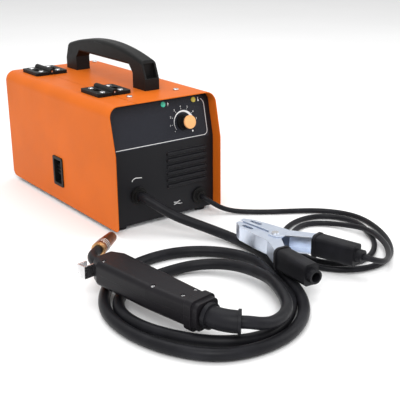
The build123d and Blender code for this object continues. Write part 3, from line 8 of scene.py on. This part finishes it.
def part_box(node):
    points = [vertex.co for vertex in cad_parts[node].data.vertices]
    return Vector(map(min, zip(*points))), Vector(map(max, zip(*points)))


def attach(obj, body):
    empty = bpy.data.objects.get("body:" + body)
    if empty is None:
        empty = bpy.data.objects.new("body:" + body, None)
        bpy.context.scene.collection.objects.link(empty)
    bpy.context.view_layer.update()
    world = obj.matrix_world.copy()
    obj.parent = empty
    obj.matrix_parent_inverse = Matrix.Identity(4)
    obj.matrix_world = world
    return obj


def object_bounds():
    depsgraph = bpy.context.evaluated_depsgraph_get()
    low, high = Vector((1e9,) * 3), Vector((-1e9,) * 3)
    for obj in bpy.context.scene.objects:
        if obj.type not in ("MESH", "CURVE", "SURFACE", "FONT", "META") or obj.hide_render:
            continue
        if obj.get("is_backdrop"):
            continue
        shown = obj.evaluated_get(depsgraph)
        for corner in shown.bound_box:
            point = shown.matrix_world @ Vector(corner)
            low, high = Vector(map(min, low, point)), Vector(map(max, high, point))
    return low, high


# Looks of the wire-feed welding machine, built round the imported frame. Metres throughout;
# the printed marks are drawn in millimetres on the panel and scaled by MM.

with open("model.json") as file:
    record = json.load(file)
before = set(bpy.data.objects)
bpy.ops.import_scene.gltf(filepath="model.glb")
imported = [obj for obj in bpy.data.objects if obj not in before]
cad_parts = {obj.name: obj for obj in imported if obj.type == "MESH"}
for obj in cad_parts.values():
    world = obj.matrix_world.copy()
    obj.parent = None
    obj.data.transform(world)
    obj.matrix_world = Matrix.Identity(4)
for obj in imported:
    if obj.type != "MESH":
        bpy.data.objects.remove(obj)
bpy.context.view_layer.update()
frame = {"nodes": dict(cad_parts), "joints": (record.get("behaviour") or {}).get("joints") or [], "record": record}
nodes = frame["nodes"]
record = frame["record"]
joints = {joint["name"]: joint for joint in frame["joints"]}

MM = 0.001
PRINT_HEIGHT = 0.12 * MM        # how far printed ink stands off its surface
LABEL_THICK = 0.4 * MM
LEAN_OFFSET = 0.05 * MM         # keeps a plate's back face clear of the surface it is printed on

# Printed marks, in millimetres on the panel.
BORDER_INSET = 2.2
BORDER_WIDTH = 0.7
BORDER_CORNER = 6.0
BORDER_TOP_CORNER = 9.0
BORDER_TOP_GAP = 12.0
DIAL_FIRST = 215                # degrees, where the scale starts
DIAL_STEP = 30                  # degrees from one mark to the next
DIAL_MARKS = 8
SWEEP_R = 14.4
SWEEP_LAST = 20                 # degrees, where the sweep ends
SWEEP_STEPS = 40
TICK_R = (17.0, 18.2)
NUMBER_R = 20.6
NUMBER_SIZE = 3.6
NUMBER_RISE = 0.06
TORCH_MARK = (-75.5, -61.5)     # right of and above the knob
CLAMP_MARK = (-15.5, -105.5)

# Added pieces, in millimetres.
KNOB_RIBS = 20
RIB_SIDES = 8
RIB_SINK = 0.45                 # how far the ribs' centre line lies inside the cap's radius
RIB_SECTIONS = ((0.30, 0.35), (0.36, 0.75), (0.86, 0.70), (0.93, 0.3))    # share of height, half width
RING_DISTANCES = (5.0, 8.0, 11.0)
RING_R = (7.2, 8.15)            # inside the nozzle's wall, and just proud of it
RING_HALF_WIDTH = 0.5
RING_STEPS = 32

# Finishes.
ORANGE = (0.66, 0.138, 0.012)
ORANGE_WORN = (0.74, 0.24, 0.06)
BLACK = (0.008, 0.008, 0.008)
BLACK_PAINT = (0.008, 0.008, 0.010)
# edge colour of the black coat: a painted highlight that lightens the louvres' bent edges
BLACK_EDGE_HIGHLIGHT = (0.13, 0.13, 0.14)
RUBBER_BLACK = (0.009, 0.009, 0.011)
TORCH_BLACK = (0.012, 0.011, 0.013)
COPPER = (0.36, 0.14, 0.06)
COPPER_TINT = (0.14, 0.05, 0.03)
BRIGHT_ZINC = (0.74, 0.80, 0.93)
BRIGHT_ZINC_LOW = (0.67, 0.74, 0.87)
WHITE_INK = (0.86, 0.86, 0.86)
ORANGE_SHINE = 0.08
BLACK_SHINE = 0.2
PLASTIC_SHINE = 0.14

# Stage.
CAMERA_PLACE = (-0.495, -0.8558, 0.3863)
CAMERA_YAW = 37.55
CAMERA_PITCH = 19.57
CAMERA_LENS = 74.0
CAMERA_SHIFT = -0.0525
LIGHT_TARGET = (0.06, 0.1, 0.08)
TOP_LIGHT_TARGET = (0.06, 0.1, 0.1)
WORLD_STRENGTH = 0.72
FLOOR_SIZE = 12
FLOOR_DROP = 0.0003


# ---------------------------------------------------------------- material helpers
def new_material(name):
    """A node material with its shader, tree and shared texture coordinates."""
    material = bpy.data.materials.new(name)
    material.use_nodes = True
    tree = material.node_tree
    shader = tree.nodes["Principled BSDF"]
    place = tree.nodes.new("ShaderNodeTexCoord").outputs["Object"]
    return material, tree, shader, place


def noise(tree, place, scale, detail=4.0, stretch=(1, 1, 1)):
    """A noise pattern, optionally stretched into streaks."""
    mapping = tree.nodes.new("ShaderNodeMapping")
    mapping.inputs["Scale"].default_value = stretch
    tree.links.new(place, mapping.inputs["Vector"])
    texture = tree.nodes.new("ShaderNodeTexNoise")
    texture.inputs["Scale"].default_value = scale
    texture.inputs["Detail"].default_value = detail
    tree.links.new(mapping.outputs["Vector"], texture.inputs["Vector"])
    return texture.outputs["Fac"]


def ramp(tree, value, low, high, spread=(0.3, 0.7)):
    """Turns a 0 to 1 pattern into a blend of two colours."""
    node = tree.nodes.new("ShaderNodeValToRGB")
    node.color_ramp.elements[0].position = spread[0]
    node.color_ramp.elements[1].position = spread[1]
    node.color_ramp.elements[0].color = (*low, 1)
    node.color_ramp.elements[1].color = (*high, 1)
    tree.links.new(value, node.inputs["Fac"])
    return node.outputs["Color"]


def between(tree, value, low, high):
    """Maps a 0 to 1 pattern onto a range of numbers."""
    node = tree.nodes.new("ShaderNodeMapRange")
    node.inputs["To Min"].default_value = low
    node.inputs["To Max"].default_value = high
    tree.links.new(value, node.inputs["Value"])
    return node.outputs["Result"]


def bump(tree, shader, height, strength, distance, edge_radius):
    """Fine relief over softly rounded edges."""
    edge = tree.nodes.new("ShaderNodeBevel")
    edge.samples = 4
    edge.inputs["Radius"].default_value = edge_radius
    relief = tree.nodes.new("ShaderNodeBump")
    relief.inputs["Strength"].default_value = strength
    relief.inputs["Distance"].default_value = distance
    tree.links.new(height, relief.inputs["Height"])
    tree.links.new(edge.outputs["Normal"], relief.inputs["Normal"])
    tree.links.new(relief.outputs["Normal"], shader.inputs["Normal"])
    return edge.outputs["Normal"]


def edge_mask(tree, soft_normal):
    """1 along sharp edges, 0 on flat ground: where the rounded normal leaves the true one."""
    true_normal = tree.nodes.new("ShaderNodeNewGeometry").outputs["Normal"]
    dot = tree.nodes.new("ShaderNodeVectorMath")
    dot.operation = "DOT_PRODUCT"
    tree.links.new(soft_normal, dot.inputs[0])
    tree.links.new(true_normal, dot.inputs[1])
    node = tree.nodes.new("ShaderNodeMapRange")
    node.inputs["From Min"].default_value = 0.995
    node.inputs["From Max"].default_value = 0.80
    tree.links.new(dot.outputs["Value"], node.inputs["Value"])
    return node.outputs["Result"]


def mix(tree, share, low, high):
    """Blends two colours or colour outputs by a pattern."""
    node = tree.nodes.new("ShaderNodeMix")
    node.data_type = "RGBA"
    tree.links.new(share, node.inputs["Factor"])
    for socket, value in (("A", low), ("B", high)):
        colour_in = [s for s in node.inputs if s.name == socket and s.type == "RGBA"][0]
        if isinstance(value, tuple):
            colour_in.default_value = (*value, 1)
        else:
            tree.links.new(value, colour_in)
    return [s for s in node.outputs if s.type == "RGBA"][0]


def shade(colour, factor):
    """The same colour, lighter or darker."""
    return tuple(min(channel * factor, 1.0) for channel in colour)


# ---------------------------------------------------------------- materials
def powder_coat(name, colour, roughness, worn_and_highlight, shine, grain=900.0):
    """Powder-coated steel: orange-peel relief, slight tone drift, and a lighter colour in patches along edges:
    paint rubbed thin on the orange coat, a painted highlight on the black one.
    """
    material, tree, shader, place = new_material(name)
    drift = ramp(tree, noise(tree, place, 14.0), shade(colour, 0.93), shade(colour, 1.05))
    peel = noise(tree, place, grain, 2.0)
    soft = bump(tree, shader, peel, 0.12, 0.0003, 0.0007)
    # lighter patches along edges: real wear on the orange coat, a painted highlight on the black one
    scuff_and_highlight = tree.nodes.new("ShaderNodeMath")
    scuff_and_highlight.operation = "MULTIPLY"
    tree.links.new(edge_mask(tree, soft), scuff_and_highlight.inputs[0])
    tree.links.new(between(tree, noise(tree, place, 160.0), -0.5, 1.2), scuff_and_highlight.inputs[1])
    scuff_and_highlight.use_clamp = True
    tree.links.new(mix(tree, scuff_and_highlight.outputs["Value"], drift, worn_and_highlight), shader.inputs["Base Color"])
    rough = between(tree, noise(tree, place, 55.0), roughness - 0.05, roughness + 0.07)
    tree.links.new(rough, shader.inputs["Roughness"])
    shader.inputs["Specular IOR Level"].default_value = shine
    return material


def moulded(name, colour, roughness, grain=1400.0, relief=0.25, coat=0.0):
    """Moulded plastic: spark-eroded grain, faint flow marks and softly broken edges."""
    material, tree, shader, place = new_material(name)
    flow = noise(tree, place, 30.0, 3.0, (1, 0.3, 1))
    base = ramp(tree, flow, shade(colour, 0.85), shade(colour, 1.2))
    soft = bump(tree, shader, noise(tree, place, grain, 2.0), relief, 0.0003, 0.0006)
    # colour lighter along sharp edges
    edge_lightened = mix(tree, edge_mask(tree, soft), base, shade(colour, 1.9))
    tree.links.new(edge_lightened, shader.inputs["Base Color"])
    rough = between(tree, noise(tree, place, 90.0), roughness - 0.06, roughness + 0.08)
    tree.links.new(rough, shader.inputs["Roughness"])
    shader.inputs["Specular IOR Level"].default_value = PLASTIC_SHINE
    shader.inputs["Coat Weight"].default_value = coat
    return material


def rubber(name, colour, roughness):
    """Extruded or moulded rubber with a dusty bloom and a fine relief."""
    material, tree, shader, place = new_material(name)
    dust = noise(tree, place, 45.0, 6.0)
    bloom = ramp(tree, dust, colour, shade(colour, 2.0), (0.45, 0.85))
    tree.links.new(bloom, shader.inputs["Base Color"])
    bump(tree, shader, noise(tree, place, 700.0, 5.0), 0.2, 0.0003, 0.0006)
    rough = between(tree, noise(tree, place, 60.0, 5.0), roughness - 0.07, roughness + 0.1)
    tree.links.new(rough, shader.inputs["Roughness"])
    shader.inputs["Specular IOR Level"].default_value = PLASTIC_SHINE
    return material


def metal(name, colour, roughness, streak=(1, 1, 1), scale=400.0, tint=None):
    """Bare or plated metal: brushed or grained, uneven in tone, brighter along edges."""
    material, tree, shader, place = new_material(name)
    shader.inputs["Metallic"].default_value = 1.0
    tone = noise(tree, place, 60.0, 4.0)
    darker = shade(colour, 0.78) if tint is None else tint
    base = ramp(tree, tone, darker, shade(colour, 1.1))
    soft = bump(tree, shader, noise(tree, place, scale, 4.0, streak), 0.25, 0.0002, 0.0005)
    bright = mix(tree, edge_mask(tree, soft), base, shade(colour, 1.35))
    tree.links.new(bright, shader.inputs["Base Color"])
    grain = noise(tree, place, scale * 0.5, 3.0, streak)
    rough = between(tree, grain, roughness - 0.08, roughness + 0.1)
    tree.links.new(rough, shader.inputs["Roughness"])
    return material


def wound(name, colour, axis, pitch):
    """Layers of wire or turns of a winding: fine parallel ridges across one axis, darkened between the turns with
    painted shade.
    """
    material, tree, shader, place = new_material(name)
    shader.inputs["Metallic"].default_value = 1.0
    wave = tree.nodes.new("ShaderNodeTexWave")
    wave.bands_direction = axis
    wave.inputs["Scale"].default_value = 1.0 / (pitch * 20.0)
    wave.inputs["Distortion"].default_value = 0.4
    tree.links.new(place, wave.inputs["Vector"])
    # the dark end of this blend falls in the grooves between turns: painted shade
    ridges_and_groove_shade = ramp(tree, wave.outputs["Fac"], shade(colour, 0.35), colour, (0.1, 0.6))
    tree.links.new(ridges_and_groove_shade, shader.inputs["Base Color"])
    bump(tree, shader, wave.outputs["Fac"], 0.8, pitch * 0.4, 0.0004)
    shader.inputs["Roughness"].default_value = 0.32
    return material


def printed_film(name, colour):
    """The control label: a dark film with a fine pale speckle printed over it."""
    material, tree, shader, place = new_material(name)
    specks = ramp(tree, noise(tree, place, 2600.0, 2.0), colour, shade(colour, 4.5), (0.62, 0.72))
    tree.links.new(specks, shader.inputs["Base Color"])
    bump(tree, shader, noise(tree, place, 1800.0, 2.0), 0.1, 0.0001, 0.0003)
    tree.links.new(between(tree, noise(tree, place, 40.0), 0.3, 0.42), shader.inputs["Roughness"])
    shader.inputs["Specular IOR Level"].default_value = PLASTIC_SHINE
    return material


def ink(name, colour):
    """Screen-printed ink, a little uneven in cover."""
    material, tree, shader, place = new_material(name)
    cover = ramp(tree, noise(tree, place, 1200.0, 2.0), shade(colour, 0.86), colour)
    tree.links.new(cover, shader.inputs["Base Color"])
    shader.inputs["Roughness"].default_value = 0.45
    return material


def lens(name, colour):
    """A translucent lamp lens with a frosted core."""
    material, tree, shader, place = new_material(name)
    core = ramp(tree, noise(tree, place, 500.0), shade(colour, 0.7), shade(colour, 1.3))
    tree.links.new(core, shader.inputs["Base Color"])
    tree.links.new(core, shader.inputs["Emission Color"])
    shader.inputs["Emission Strength"].default_value = 0.25
    shader.inputs["Roughness"].default_value = 0.12
    shader.inputs["Coat Weight"].default_value = 0.8
    return material


def board(name):
    """Green circuit board with paler copper tracks under the mask."""
    material, tree, shader, place = new_material(name)
    tracks = tree.nodes.new("ShaderNodeTexBrick")
    tracks.inputs["Scale"].default_value = 90.0
    tracks.inputs["Color1"].default_value = (0.01, 0.11, 0.04, 1)
    tracks.inputs["Color2"].default_value = (0.012, 0.14, 0.05, 1)
    tracks.inputs["Mortar"].default_value = (0.03, 0.24, 0.09, 1)
    tree.links.new(place, tracks.inputs["Vector"])
    tree.links.new(tracks.outputs["Color"], shader.inputs["Base Color"])
    bump(tree, shader, tracks.outputs["Fac"], 0.2, 0.0001, 0.0003)
    shader.inputs["Roughness"].default_value = 0.35
    return material


SURFACES = {
    "orange_paint": powder_coat("orange_powder_coat", ORANGE, 0.40, ORANGE_WORN, ORANGE_SHINE),
    "black_paint": powder_coat("black_powder_coat", BLACK_PAINT, 0.42, BLACK_EDGE_HIGHLIGHT, BLACK_SHINE),
    "zinc_sheet": metal("zinc_plated_sheet", (0.55, 0.56, 0.58), 0.36, (1, 12, 1)),
    "black_rubber": rubber("black_rubber", RUBBER_BLACK, 0.40),
    "black_nylon": moulded("black_nylon", BLACK, 0.42),
    "torch_plastic": moulded("torch_shell_plastic", TORCH_BLACK, 0.34, 1000.0),
    "steel": metal("nickel_plated_steel", (0.72, 0.72, 0.73), 0.24),
    "label_film": printed_film("label_film", (0.019, 0.020, 0.026)),
    "cap_plastic": moulded("cap_plastic", (0.86, 0.42, 0.17), 0.35, 1600.0, 0.12, 0.3),
    "lamp_lens": lens("green_lens", (0.03, 0.42, 0.28)),
    "red_plastic": moulded("red_plastic", (0.5, 0.02, 0.015), 0.25, 1600.0, 0.1, 0.5),
    "board": board("circuit_board"),
    "aluminium": metal("extruded_aluminium", (0.78, 0.79, 0.80), 0.34, (1, 14, 1)),
    "core_iron": metal("laminated_core", (0.16, 0.14, 0.13), 0.5, (1, 1, 14)),
    "spool_plastic": moulded("spool_plastic", (0.04, 0.04, 0.045), 0.4),
    "copper_wire": wound("wound_wire", (0.86, 0.42, 0.22), "X", 0.0009),
    "die_cast": metal("die_cast_alloy", (0.5, 0.5, 0.51), 0.5, (1, 1, 1), 900.0),
    "brass": metal("brass", (0.58, 0.34, 0.16), 0.30),
    "copper": metal("heat_tinted_copper", COPPER, 0.36, (1, 1, 1), 500.0, COPPER_TINT),
    "zinc_plate": metal("bright_zinc_plate", BRIGHT_ZINC, 0.3, (1, 1, 1), 900.0, BRIGHT_ZINC_LOW),
}
AMBER_LENS = lens("amber_lens", (0.42, 0.33, 0.03))
INK = ink("white_ink", WHITE_INK)

for entry in record["subparts"]:
    surface = SURFACES[entry["material_slot"]]
    mesh = nodes[entry["node"]].data
    mesh.materials.clear()
    mesh.materials.append(surface)


def colour_right_lamp():
    """The right-hand lamp of the pair has an amber lens."""
    mesh = nodes["panel_lamps"].data
    mesh.materials.append(AMBER_LENS)
    low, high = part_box("panel_lamps")
    middle = (low.x + high.x) / 2
    for polygon in mesh.polygons:
        polygon.material_index = 1 if polygon.center.x > middle else 0


colour_right_lamp()


# ---------------------------------------------------------------- printed marks
def panel_matrix(origin, normal):
    """Places x right, y up the panel and z out of it, in millimetres."""
    right = Vector((1, 0, 0))
    out = Vector(normal).normalized()
    up = out.cross(right)
    turn = Matrix((right, up, out)).transposed().to_4x4()
    return Matrix.Translation(origin) @ turn @ Matrix.Scale(MM, 4)


def printed_plate(name, outlines, place, body):
    """Closed outlines printed as thin raised plates: one piece."""
    shape = bmesh.new()
    for outline in outlines:
        face = shape.faces.new([shape.verts.new((x, y, 0)) for x, y in outline])
        if face.normal.z > 0:
            face.normal_flip()
        top = bmesh.ops.extrude_face_region(shape, geom=[face], use_keep_orig=True)
        lifted = [item for item in top["geom"] if isinstance(item, bmesh.types.BMVert)]
        bmesh.ops.translate(shape, vec=(0, 0, PRINT_HEIGHT / MM), verts=lifted)
    bmesh.ops.recalc_face_normals(shape, faces=shape.faces)
    mesh = bpy.data.meshes.new(name)
    shape.to_mesh(mesh)
    shape.free()
    mesh.transform(place)
    mesh.materials.append(INK)
    piece = bpy.data.objects.new(name, mesh)
    bpy.context.scene.collection.objects.link(piece)
    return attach(piece, body)


def band(points, widths):
    """The outline of a stroke along points, with a width at each."""
    left, right = [], []
    count = len(points)
    for i, (x, y) in enumerate(points):
        before = points[max(i - 1, 0)]
        after = points[min(i + 1, count - 1)]
        along = Vector((after[0] - before[0], after[1] - before[1])).normalized()
        half = widths[i] / 2
        left.append((x - along.y * half, y + along.x * half))
        right.append((x + along.y * half, y - along.x * half))
    return left + right[::-1]


def line(points, width):
    """A stroke of one width."""
    return band(points, [width] * len(points))


def arc(centre, radius, first, last, steps):
    """Points along an arc, angles in degrees."""
    points = []
    for i in range(steps + 1):
        angle = math.radians(first + (last - first) * i / steps)
        x = centre[0] + radius * math.cos(angle)
        y = centre[1] + radius * math.sin(angle)
        points.append((x, y))
    return points


knob_joint = joints["knob_turn"]
knob_place = Vector(knob_joint["pos_m"])
panel_normal = Vector(knob_joint["axis"]).normalized()
dial = panel_matrix(knob_place + panel_normal * (LABEL_THICK + LEAN_OFFSET), panel_normal)
label_low, label_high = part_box("control_label")
panel_up = panel_normal.cross(Vector((1, 0, 0)))


def on_label(x, z):
    """Dial coordinates, in millimetres from the knob, of a point given by its x and height."""
    along = (z - knob_place.z) / panel_up.z
    return ((x - knob_place.x) / MM, along / MM)


def label_border():
    """A white line along the label's lower edge, up its right side and round its top corner."""
    left, low = on_label(label_low.x, label_low.z)
    right, high = on_label(label_high.x, label_high.z)
    side = right - BORDER_INSET
    base = low + BORDER_INSET
    turn = arc((side - BORDER_CORNER, base + BORDER_CORNER), BORDER_CORNER, -90, 0, 10)
    top_centre = (side - BORDER_TOP_CORNER, high - BORDER_TOP_GAP)
    top_turn = arc(top_centre, BORDER_TOP_CORNER, 0, 60, 8)
    path = [(left + 1.0, base)] + turn + top_turn
    printed_plate("label_border", [line(path, BORDER_WIDTH)], dial, "machine")


def dial_arc():
    """The tapering sweep round the knob, thin at the low end and thick at the high end."""
    points = arc((0, 0), SWEEP_R, DIAL_FIRST, SWEEP_LAST, SWEEP_STEPS)
    widths = [0.3 + 3.4 * (i / SWEEP_STEPS) ** 1.4 for i in range(SWEEP_STEPS + 1)]
    printed_plate("dial_sweep", [band(points, widths)], dial, "machine")


def dial_marks():
    """Short ticks outside the sweep, and a dot at its far end."""
    ticks = []
    for i in range(DIAL_MARKS):
        angle = math.radians(DIAL_FIRST - i * DIAL_STEP)
        x, y = math.cos(angle), math.sin(angle)
        ticks.append(line([(x * r, y * r) for r in TICK_R], 0.5))
    ticks.append(arc((12.5, -13.0), 1.3, 0, 345, 16))
    printed_plate("dial_marks", ticks, dial, "machine")


def dial_numbers():
    """Plain figures at the dial marks."""
    for i in range(1, DIAL_MARKS):
        angle = math.radians(DIAL_FIRST - i * DIAL_STEP)
        curve = bpy.data.curves.new(f"dial_number_{i}", "FONT")
        curve.body = str(i)
        curve.size = NUMBER_SIZE
        curve.align_x = "CENTER"
        curve.align_y = "CENTER"
        curve.extrude = NUMBER_RISE
        text = bpy.data.objects.new(f"dial_text_{i}", curve)
        bpy.context.scene.collection.objects.link(text)
        text.location = (math.cos(angle) * NUMBER_R, math.sin(angle) * NUMBER_R, NUMBER_RISE)
        bpy.context.view_layer.update()
        mesh = bpy.data.meshes.new_from_object(text)
        mesh.transform(dial @ text.matrix_world)
        bpy.data.objects.remove(text)
        mesh.materials.clear()
        mesh.materials.append(INK)
        piece = bpy.data.objects.new(f"dial_number_{i}", mesh)
        bpy.context.scene.collection.objects.link(piece)
        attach(piece, "machine")


def lamp_marks():
    """A small power bolt beside the left lamp and a thermometer beside the right one."""
    low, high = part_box("panel_lamps")
    z = (low.z + high.z) / 2
    x, y = on_label(low.x, z)
    bolt = [(x + 11.0, y + 2.6), (x + 9.4, y - 0.4), (x + 10.7, y - 0.4),
            (x + 9.9, y - 2.8), (x + 12.3, y + 0.6), (x + 11.0, y + 0.6)]
    x, y = on_label(high.x, z)
    stem = line([(x + 4.2, y + 2.8), (x + 4.2, y - 0.6)], 0.8)
    bulb = arc((x + 4.2, y - 1.6), 1.2, 0, 340, 14)
    printed_plate("lamp_marks", [bolt, stem, bulb], dial, "machine")


def panel_pictograms():
    """A small torch outline above its cable and a small clamp beside the other cable."""
    front_y = label_low.y + LABEL_THICK - LEAN_OFFSET
    upright = panel_matrix(Vector((knob_place.x, front_y, knob_place.z)), (0, -1, 0))
    x, z = TORCH_MARK
    torch = [line([(x - 6, z + 1.0), (x - 2, z + 2.2), (x + 7, z + 1.0)], 0.9),
             line([(x - 6.2, z + 0.8), (x - 7.8, z - 1.8)], 0.7)]
    printed_plate("torch_mark", torch, upright, "machine")
    x, z = CLAMP_MARK
    clamp = [line([(x - 5, z + 1.6), (x, z + 0.7), (x + 5, z + 2.4)], 0.8),
             line([(x - 5, z - 1.6), (x, z - 0.6), (x + 4.6, z - 2.0)], 0.8),
             line([(x + 5, z - 2.0), (x + 8, z - 2.0)], 0.6)]
    printed_plate("clamp_mark", clamp, upright, "machine")


label_border()
dial_arc()
dial_marks()
dial_numbers()
lamp_marks()
panel_pictograms()


# ---------------------------------------------------------------- knob grip and nozzle rings
def finish_piece(shape, name, material, body):
    """Turns a bmesh into a riding piece."""
    bmesh.ops.recalc_face_normals(shape, faces=shape.faces)
    mesh = bpy.data.meshes.new(name)
    shape.to_mesh(mesh)
    shape.free()
    mesh.materials.append(material)
    piece = bpy.data.objects.new(name, mesh)
    bpy.context.scene.collection.objects.link(piece)
    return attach(piece, body)


def join_rings(shape, first, second):
    """Four-sided faces between two rings of equal length."""
    count = len(first)
    for i in range(count):
        j = (i + 1) % count
        shape.faces.new((first[i], first[j], second[j], second[i]))


def loft(shape, sections):
    """A closed tube through rings of equal length, capped at both ends."""
    rings = [[shape.verts.new(point) for point in section] for section in sections]
    for first, second in zip(rings, rings[1:]):
        join_rings(shape, first, second)
    shape.faces.new(rings[0][::-1])
    shape.faces.new(rings[-1])


def knob_ribs():
    """Rounded grip ribs standing along the knob's side."""
    cap_low, cap_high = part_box("knob_cap")
    radius = (cap_high.x - cap_low.x) / 2
    centre = (cap_low + cap_high) / 2
    height = (centre - knob_place).dot(panel_normal)
    place = panel_matrix(knob_place, panel_normal)
    shape = bmesh.new()
    for i in range(KNOB_RIBS):
        angle = 2 * math.pi * i / KNOB_RIBS
        out = Vector((math.cos(angle), math.sin(angle), 0))
        side = Vector((-out.y, out.x, 0))
        rows = []
        for share, size in RIB_SECTIONS:
            level = Vector((0, 0, height / MM * share))
            base = out * (radius / MM - RIB_SINK) + level
            turns = [2 * math.pi * k / RIB_SIDES for k in range(RIB_SIDES)]
            ring = [base + side * size * math.cos(t) + out * size * 0.8 * math.sin(t) for t in turns]
            rows.append([place @ point for point in ring])
        loft(shape, rows)
    finish_piece(shape, "knob_grip_ribs", SURFACES["black_nylon"], "dial_knob")


def middle_of(name):
    """The mean position of a piece's mesh corners."""
    corners = [nodes[name].matrix_world @ vertex.co for vertex in nodes[name].data.vertices]
    return sum(corners, Vector()) / len(corners)


def circle_points(centre, side, turned, radius):
    """Points on a circle spanned by two unit directions."""
    points = []
    for i in range(RING_STEPS):
        angle = 2 * math.pi * i / RING_STEPS
        out = side * math.cos(angle) + turned * math.sin(angle)
        points.append(centre + out * radius * MM)
    return points


def nozzle_rings():
    """Three bright rings round the root of the nozzle."""
    root = middle_of("nozzle_adapter")
    out = (middle_of("torch_nozzle") - root).normalized()
    side = out.orthogonal().normalized()
    turned = out.cross(side)
    inner, outer = RING_R
    half = RING_HALF_WIDTH
    shape = bmesh.new()
    for distance in RING_DISTANCES:
        rings = []
        for radius, shift in ((inner, -half), (outer, -half), (outer, half), (inner, half)):
            centre = root + out * (distance + shift) * MM
            points = circle_points(centre, side, turned, radius)
            rings.append([shape.verts.new(point) for point in points])
        for first, second in zip(rings, rings[1:] + rings[:1]):
            join_rings(shape, first, second)
    finish_piece(shape, "nozzle_rings", SURFACES["steel"], "machine")


knob_ribs()
nozzle_rings()


# ---------------------------------------------------------------- stage
def pale_floor():
    """A wide, plain, pale floor."""
    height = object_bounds()[0][2] - FLOOR_DROP
    bpy.ops.mesh.primitive_plane_add(size=FLOOR_SIZE, location=(0, 0, height))
    floor = bpy.context.object
    floor.name = "floor"
    material, tree, shader, place = new_material("pale_floor")
    tone = ramp(tree, noise(tree, place, 3.0), (0.93, 0.93, 0.93), (0.95, 0.95, 0.95))
    tree.links.new(tone, shader.inputs["Base Color"])
    shader.inputs["Roughness"].default_value = 0.7
    floor.data.materials.append(material)
    floor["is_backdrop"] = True


def soft_light(name, location, target, size, power):
    """A large area light aimed at a point."""
    lamp = bpy.data.lights.new(name, "AREA")
    lamp.size = size
    lamp.energy = power
    holder = bpy.data.objects.new(name, lamp)
    bpy.context.scene.collection.objects.link(holder)
    holder.location = location
    aim = Vector(target) - Vector(location)
    holder.rotation_euler = aim.to_track_quat("-Z", "Y").to_euler()


def studio():
    """Soft white surroundings, a key from above left, a fill from the right and a light overhead."""
    world = bpy.data.worlds.new("studio")
    bpy.context.scene.world = world
    world.use_nodes = True
    background = world.node_tree.nodes["Background"]
    background.inputs["Color"].default_value = (1, 1, 1, 1)
    background.inputs["Strength"].default_value = WORLD_STRENGTH
    soft_light("key_light", (-1.1, -1.3, 1.7), LIGHT_TARGET, 1.2, 26)
    soft_light("fill_light", (1.6, -0.9, 1.1), LIGHT_TARGET, 1.4, 12)
    soft_light("top_light", (0.1, 0.5, 1.9), TOP_LIGHT_TARGET, 1.6, 16)


def camera():
    """Three-quarter view from the front left, slightly above."""
    yaw = math.radians(CAMERA_YAW)
    pitch = math.radians(CAMERA_PITCH)
    data = bpy.data.cameras.new("camera")
    data.lens = CAMERA_LENS
    data.sensor_width = 36.0
    data.shift_x = CAMERA_SHIFT
    holder = bpy.data.objects.new("camera", data)
    bpy.context.scene.collection.objects.link(holder)
    holder.location = CAMERA_PLACE
    level = math.cos(pitch)
    aim = Vector((math.sin(yaw) * level, math.cos(yaw) * level, -math.sin(pitch)))
    holder.rotation_euler = aim.to_track_quat("-Z", "Y").to_euler()
    bpy.context.scene.camera = holder


pale_floor()
studio()
camera()
bpy.context.scene.view_settings.view_transform = "Standard"
